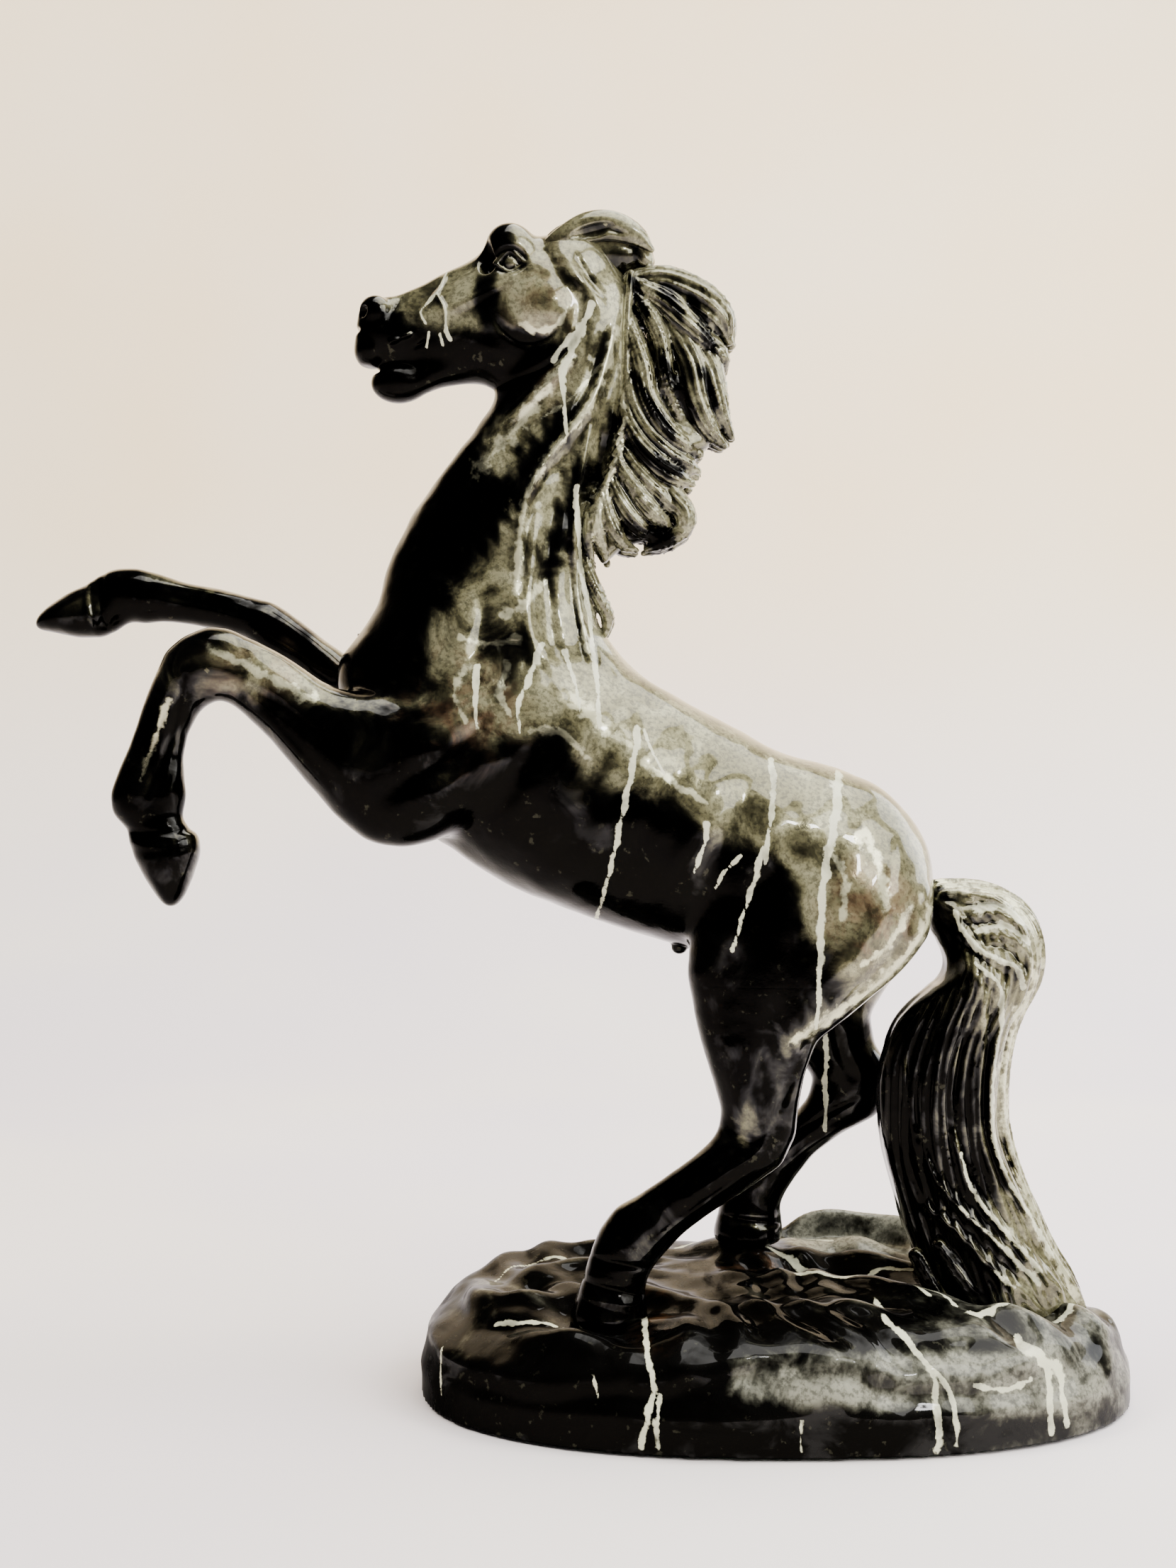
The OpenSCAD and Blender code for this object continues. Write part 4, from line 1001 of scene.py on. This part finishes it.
def patches(points, table):
    """Sum of soft round patches, each worth its strength in its middle."""
    total = np.zeros(len(points), np.float32)
    for strength, centre, radii in table:
        gap = np.sqrt((((points - centre) / radii) ** 2).sum(1))
        total += strength * (1 - step_up(gap, 0.3, 1.0))
    return total


def horse_paint(points, is_mane):
    """Where runs, glints, rust, and the painted light and shade on the olive skin lie on the animal."""
    near = step_up(-points[:, 1], -2, 4)
    runs = painted(points, NEAR_DRIPS) * near + painted(points, FAR_DRIPS) * (1 - near)
    # Painted highlights along the folds of the neck, the shoulder, the barrel, the croup, the cheek and
    # the near foreleg.
    glow = np.maximum(painted(points, SHOULDER_LIGHTS), painted(points, NECK_LIGHTS))
    # pale: paler patina painted where the light falls, in patches of painted light and shade, and darker
    # in the painted shade of the hollows.
    pale = np.maximum(0.85 * within(points, PAINTED_LIGHT_AREA, 6), 0.62 * painted(points, THIGH_PAINTED_HIGHLIGHT))
    pale += patches(points, PAINTED_LIGHT_AND_SHADE_PATCHES) - 0.75 * painted(points, NECK_PAINTED_SHADE)
    if is_mane:
        pale -= 1.1 * painted(points, MANE_PAINTED_SHADE)
    return {"drip": runs, "glow": glow, "warm": patches(points, WARM_PATCHES), "pale": pale}


def tail_paint(points):
    crown = step_up(points[:, 0] + 0.55 * points[:, 2], 88, 112)
    # Patina painted lighter toward the back edge of the tail, where the light falls.
    pale = step_up(points[:, 0] + 0.12 * points[:, 2], 78, 98)
    return {"drip": 0.8 * painted(points, TAIL_PALE) * crown,
            "glow": 0.8 * painted(points, TAIL_PAINTED_HIGHLIGHT), "pale": pale}


def rock_paint(points):
    front = step_up(-points[:, 1], 20, 34)
    top = step_up(points[:, 2], 26, 34)
    runs = np.maximum(painted(points, BASE_DRIPS) * front, painted(points, TOP_STREAKS, up=1) * top)
    # Patina painted lighter toward the right end of the rock, where the light falls, and in the patches
    # of painted light and shade.
    pale = 0.6 * step_up(points[:, 0], 20, 100) + patches(points, ROCK_PAINTED_LIGHT_AND_SHADE)
    return {"drip": runs, "warm": patches(points, ROCK_WARM), "pale": pale}


def paint(piece):
    """Writes the paint as attributes of the mesh, for the bronze to read."""
    points = vertices(piece)
    kind = piece.name.split("_")[0]
    if kind == "tail":
        layers = tail_paint(points)
    elif kind == "base":
        layers = rock_paint(points)
    else:
        layers = horse_paint(points, kind == "mane")
    layers["pale"] = PALE_ZERO + (1 - PALE_ZERO) * layers["pale"]
    for name in ("drip", "glow", "warm", "pale"):
        values = layers.get(name, np.zeros(len(points)))
        layer = piece.data.attributes.new(name, "FLOAT", "POINT")
        layer.data.foreach_set("value", np.clip(values, 0, 1).astype(np.float32))


# ---------------------------------------------------------------- materials

class Nodes:
    """Small helper that adds nodes to one material and links them."""

    def __init__(self, name):
        self.material = bpy.data.materials.new(name)
        self.material.use_nodes = True
        self.tree = self.material.node_tree
        self.shader = self.tree.nodes["Principled BSDF"]
        self.place = self.tree.nodes.new("ShaderNodeTexCoord").outputs["Object"]

    def link(self, value, socket):
        if isinstance(value, bpy.types.NodeSocket):
            self.tree.links.new(value, socket)
        else:
            socket.default_value = value

    def put(self, **values):
        """Sets or links the shader's inputs: Base_Color stands for Base Color."""
        for name, value in values.items():
            self.link(value, self.shader.inputs[name.replace("_", " ")])

    def math(self, kind, a, b):
        node = self.tree.nodes.new("ShaderNodeMath")
        node.operation = kind
        self.link(a, node.inputs[0])
        self.link(b, node.inputs[1])
        return node.outputs[0]

    def plus(self, a, b):
        return self.math("ADD", a, b)

    def times(self, a, b):
        return self.math("MULTIPLY", a, b)

    def spread(self, value, low, high, to_low=0.0, to_high=1.0):
        node = self.tree.nodes.new("ShaderNodeMapRange")
        node.interpolation_type = "SMOOTHSTEP"
        for socket, v in zip(node.inputs, (value, low, high, to_low, to_high)):
            self.link(v, socket)
        return node.outputs[0]

    def mix(self, factor, a, b):
        node = self.tree.nodes.new("ShaderNodeMix")
        node.data_type = "RGBA"
        self.link(factor, node.inputs[0])
        for colour, socket in ((a, node.inputs[6]), (b, node.inputs[7])):
            self.link(colour if isinstance(colour, bpy.types.NodeSocket) else (*colour, 1), socket)
        return node.outputs[2]

    def grain(self, scale, detail=3.0, rough=0.55, warp=0.0):
        node = self.tree.nodes.new("ShaderNodeTexNoise")
        for name, value in (("Vector", self.place), ("Scale", scale), ("Detail", detail),
                            ("Roughness", rough), ("Distortion", warp)):
            self.link(value, node.inputs[name])
        return node.outputs["Fac"]

    def paint(self, name):
        """One of the attributes that paint() writes."""
        node = self.tree.nodes.new("ShaderNodeAttribute")
        node.attribute_name = name
        return node.outputs["Fac"]

    def pointiness(self):
        return self.tree.nodes.new("ShaderNodeNewGeometry").outputs["Pointiness"]

    def facing(self):
        """The x, y and z of the way the surface faces."""
        node = self.tree.nodes.new("ShaderNodeNewGeometry")
        split = self.tree.nodes.new("ShaderNodeSeparateXYZ")
        self.tree.links.new(node.outputs["Normal"], split.inputs[0])
        return split.outputs

    def bump(self, height, strength, distance):
        node = self.tree.nodes.new("ShaderNodeBump")
        self.link(height, node.inputs["Height"])
        node.inputs["Strength"].default_value = strength
        node.inputs["Distance"].default_value = distance
        self.tree.links.new(node.outputs[0], self.shader.inputs["Normal"])


NEAR_BLACK = (0.0030, 0.0028, 0.0024)
# Colours of the bronze; a pair is the darker and the lighter end of a mix.
OLIVE = ((0.120, 0.110, 0.052), (0.235, 0.222, 0.118))
# Colour of the painted light on the patina.
PAINTED_LIGHT_OLIVE = (0.37, 0.36, 0.22)
ROCK_GREY = ((0.085, 0.088, 0.074), (0.27, 0.275, 0.235))
RUST = (0.23, 0.13, 0.07)
GLINT = (0.70, 0.69, 0.46)
VARNISH_RUN = (0.68, 0.69, 0.50)


def bronze_material(name, shift=0.0, speckle=620.0, grey=0.0, gloss=1.0):
    """Near-black lacquered bronze: an olive, patinated skin on what faces up and back, painted lighter
    there where the light falls; pale runs, painted highlights, warm tints.
    """
    n = Nodes(name)
    side = n.facing()
    cloud = n.grain(55.0, 4.0, 0.6, 0.6)
    fine = n.grain(speckle, 2.0, 0.7)
    pale = n.math("DIVIDE", n.math("SUBTRACT", n.paint("pale"), PALE_ZERO), 1 - PALE_ZERO)
    # Painted light: the patina is lighter where the surface faces up and back towards the lamps, and
    # where the pale attribute paints light; darker where it paints shade.
    patina_and_light_level = n.plus(n.times(side[2], 0.5), n.times(side[0], 0.3))
    patina_and_light_level = n.plus(patina_and_light_level, n.spread(cloud, 0.3, 0.7, -0.38, 0.34))
    patina_and_light_level = n.plus(patina_and_light_level, n.times(pale, 0.98))
    patina_and_light_level = n.plus(patina_and_light_level, n.spread(n.pointiness(), 0.43, 0.57, -0.5, 0.32))
    patina_and_light = n.spread(patina_and_light_level, 0.15 + shift, 0.95 + shift)
    olive = n.mix(n.grain(120.0, 3.0), *OLIVE)
    # Paler olive painted where the pale attribute paints light.
    olive = n.mix(n.times(pale, n.spread(cloud, 0.42, 0.72)), olive, PAINTED_LIGHT_OLIVE)
    olive = n.mix(grey, olive, n.mix(patina_and_light, *ROCK_GREY))
    colour = n.mix(n.times(patina_and_light, n.spread(fine, 0.34, 0.60, 0.45, 1.0)), NEAR_BLACK, olive)
    rust = n.times(n.paint("warm"), n.spread(n.grain(90.0, 4.0, 0.6, 1.0), 0.42, 0.66))
    colour = n.mix(n.times(n.times(rust, n.spread(patina_and_light_level, 0.0, 0.5)), 0.65), colour, RUST)
    rough_edge = n.spread(n.grain(260.0, 3.0, 0.6), 0.3, 0.7, -0.2, 0.18)
    # Painted highlights in the glint colour.
    glow = n.spread(n.plus(n.paint("glow"), n.times(rough_edge, 2.0)), 0.30, 0.85)
    colour = n.mix(n.times(glow, 0.8), colour, GLINT)
    drip = n.spread(n.plus(n.paint("drip"), rough_edge), 0.40, 0.62)
    colour = n.mix(n.times(drip, n.spread(cloud, 0.32, 0.55, 0.4, 1.0)), colour, VARNISH_RUN)
    dull = n.math("MAXIMUM", drip, n.times(patina_and_light, 0.5))
    rough = n.plus(n.spread(cloud, 0.3, 0.7, 0.10, 0.20), n.times(patina_and_light, 0.10))
    rough = n.plus(n.plus(rough, 0.5 * (1 - gloss)), n.times(drip, 0.15))
    n.put(Base_Color=colour, Metallic=n.spread(dull, 0.0, 0.9, 0.97, 0.0), Roughness=rough,
          Coat_Weight=n.spread(patina_and_light_level, -0.1, 0.45, 0.0, 0.8 * gloss), Coat_Roughness=0.05,
          Specular_IOR_Level=0.25, Specular_Tint=(gloss, gloss, gloss, 1))
    n.bump(n.plus(n.times(fine, 0.35), n.grain(240.0, 3.0)), 0.16, 0.0006)
    return n.material


def painted_steel():
    n = Nodes("cover paint")
    stain = n.spread(n.grain(45.0, 4.0), 0.35, 0.65)
    n.put(Base_Color=n.mix(stain, (0.018, 0.019, 0.018), (0.035, 0.036, 0.033)),
          Roughness=n.spread(n.grain(300.0, 2.0), 0.3, 0.7, 0.42, 0.6))
    n.bump(n.grain(900.0, 2.0), 0.15, 0.0003)
    return n.material


def felt():
    n = Nodes("felt")
    wisps = n.grain(1400.0, 5.0, 0.75, 1.5)
    n.put(Base_Color=n.mix(n.spread(wisps, 0.3, 0.7), (0.010, 0.035, 0.016), (0.035, 0.085, 0.045)),
          Roughness=n.spread(wisps, 0.3, 0.7, 0.86, 1.0), Sheen_Weight=0.5)
    n.bump(wisps, 0.7, 0.0008)
    return n.material


def steel():
    n = Nodes("turned steel")
    streaks = n.grain(700.0, 4.0, 0.7)
    n.put(Base_Color=n.mix(streaks, (0.42, 0.42, 0.43), (0.62, 0.62, 0.62)), Metallic=1.0,
          Roughness=n.spread(streaks, 0.3, 0.7, 0.24, 0.42))
    n.bump(streaks, 0.1, 0.0002)
    return n.material


def backdrop():
    n = Nodes("pale sweep")
    split = n.tree.nodes.new("ShaderNodeSeparateXYZ")
    n.link(n.place, split.inputs[0])
    cloud = n.spread(n.grain(2.2, 2.0), 0.35, 0.65)
    low = n.mix(cloud, (0.81, 0.76, 0.83), (0.88, 0.83, 0.82))
    high = n.mix(cloud, (0.94, 0.77, 0.52), (0.94, 0.80, 0.60))
    n.put(Base_Color=n.mix(n.spread(split.outputs[2], 0.02, 0.55), low, high), Roughness=0.9,
          Specular_IOR_Level=0.1)
    return n.material


def coat(name, material):
    """Gives a CAD node its material."""
    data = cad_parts[name].data
    data.materials.clear()
    data.materials.append(material)


# ---------------------------------------------------------------- stage

def sweep():
    """Floor that curves up into a backdrop."""
    depth, wide, rise, bend, back, steps = 3.5, 4.5, 3.0, 0.55, 1.15, 16
    profile = [(-depth, 0.0), (-0.4, 0.0), (back - bend, 0.0)]
    for i in range(1, steps + 1):
        a = math.radians(90 * i / steps)
        profile.append((back - bend + bend * math.sin(a), bend - bend * math.cos(a)))
    profile.append((back, rise))
    points = [(x, y, z) for y, z in profile for x in (-wide, wide)]
    faces = [(2 * i, 2 * i + 1, 2 * i + 3, 2 * i + 2) for i in range(len(profile) - 1)]
    mesh = bpy.data.meshes.new("sweep")
    mesh.from_pydata(points, [], faces)
    for face in mesh.polygons:
        face.use_smooth = True
    mesh.materials.append(backdrop())
    sheet = bpy.data.objects.new("sweep", mesh)
    bpy.context.scene.collection.objects.link(sheet)


def lamp(name, place, target, size, power, colour, mirrored=True):
    """A soft rectangular lamp; where mirrored is False it leaves no reflection."""
    light = bpy.data.lights.new(name, "AREA")
    light.shape = "RECTANGLE"
    light.size, light.size_y = size
    light.energy = power
    light.color = colour
    thing = bpy.data.objects.new(name, light)
    thing.location = place
    aim = Vector(target) - Vector(place)
    thing.rotation_euler = aim.to_track_quat("-Z", "Y").to_euler()
    thing.visible_glossy = mirrored
    bpy.context.scene.collection.objects.link(thing)


def light_stage():
    """Lamps, a pale room seen by the camera, and a dim one seen by everything else."""
    lamp("overhead", (0.25, -0.1, 1.4), (-0.02, 0, 0.2), (1.3, 1.0), 24, (1, 0.98, 0.94))
    lamp("window", (1.15, -0.85, 0.95), (-0.02, 0, 0.25), (1.0, 1.1), 26, (1, 0.99, 0.95))
    lamp("bulb", (0.5, -0.9, 0.85), (-0.02, 0, 0.25), (0.09, 0.09), 2.2, (1, 1, 1))
    lamp("right_back", (1.1, 0.45, 0.8), (0.0, 0, 0.25), (0.8, 0.9), 14, (0.95, 0.97, 1))
    lamp("backdrop_left", (-1.3, -0.1, 1.7), (-0.3, 1.1, 0.5), (0.8, 0.8), 44, (1, 0.95, 0.86), False)
    lamp("backdrop_right", (1.3, -0.1, 1.7), (0.3, 1.1, 0.5), (0.8, 0.8), 40, (1, 0.96, 0.9), False)
    world = bpy.data.worlds.new("room")
    world.use_nodes = True
    tree = world.node_tree
    seen = tree.nodes.new("ShaderNodeLightPath")
    pale = tree.nodes.new("ShaderNodeBackground")
    dim = tree.nodes["Background"]
    for node, colour, strength in ((pale, (0.93, 0.90, 0.86, 1), 1.0), (dim, (0.9, 0.88, 0.86, 1), 0.06)):
        node.inputs["Color"].default_value = colour
        node.inputs["Strength"].default_value = strength
    mix = tree.nodes.new("ShaderNodeMixShader")
    tree.links.new(seen.outputs["Is Camera Ray"], mix.inputs[0])
    tree.links.new(dim.outputs[0], mix.inputs[1])
    tree.links.new(pale.outputs[0], mix.inputs[2])
    tree.links.new(mix.outputs[0], tree.nodes["World Output"].inputs["Surface"])
    bpy.context.scene.world = world


def place_camera():
    """Level, from the near side, about half-way up the figure."""
    camera = bpy.data.cameras.new("camera")
    camera.sensor_fit = "VERTICAL"
    camera.sensor_height = 36
    camera.lens = 39.06
    thing = bpy.data.objects.new("camera", camera)
    thing.location = (-0.0675, -0.624, 0.2207)
    thing.rotation_euler = (math.pi / 2, 0, 0)
    bpy.context.scene.collection.objects.link(thing)
    bpy.context.scene.camera = thing


# ---------------------------------------------------------------- assembly

def build():
    return [
        torso(), neck(), head(), ear(-1), ear(1), mane(), tail(), base(),
        near_foreleg(), off_foreleg(),
        hindleg("near_hindleg", (-84, -50, 26), (64, -4, 158)),
        hindleg("off_hindleg", (-26, 4, 38), (64, 50, 158)),
    ]


place_camera()
light_stage()
sweep()
body_bronze = bronze_material("patinated bronze")
rock_bronze = bronze_material("bronze rock", 0.36, 480.0, 0.75, 0.45)
for piece in build():
    paint(piece)
    piece.data.materials.append(rock_bronze if piece.name.startswith("base") else body_bronze)
turned = steel()
for node in ("neck_dowels", "head_dowels", "foreleg_dowels", "hindleg_dowels", "tail_dowel", "mane_pins",
             "ear_pins", "base_studs", "stud_washers", "stud_nuts", "cover_screws"):
    coat(node, turned)
coat("base_cover", painted_steel())
coat("felt_pad", felt())
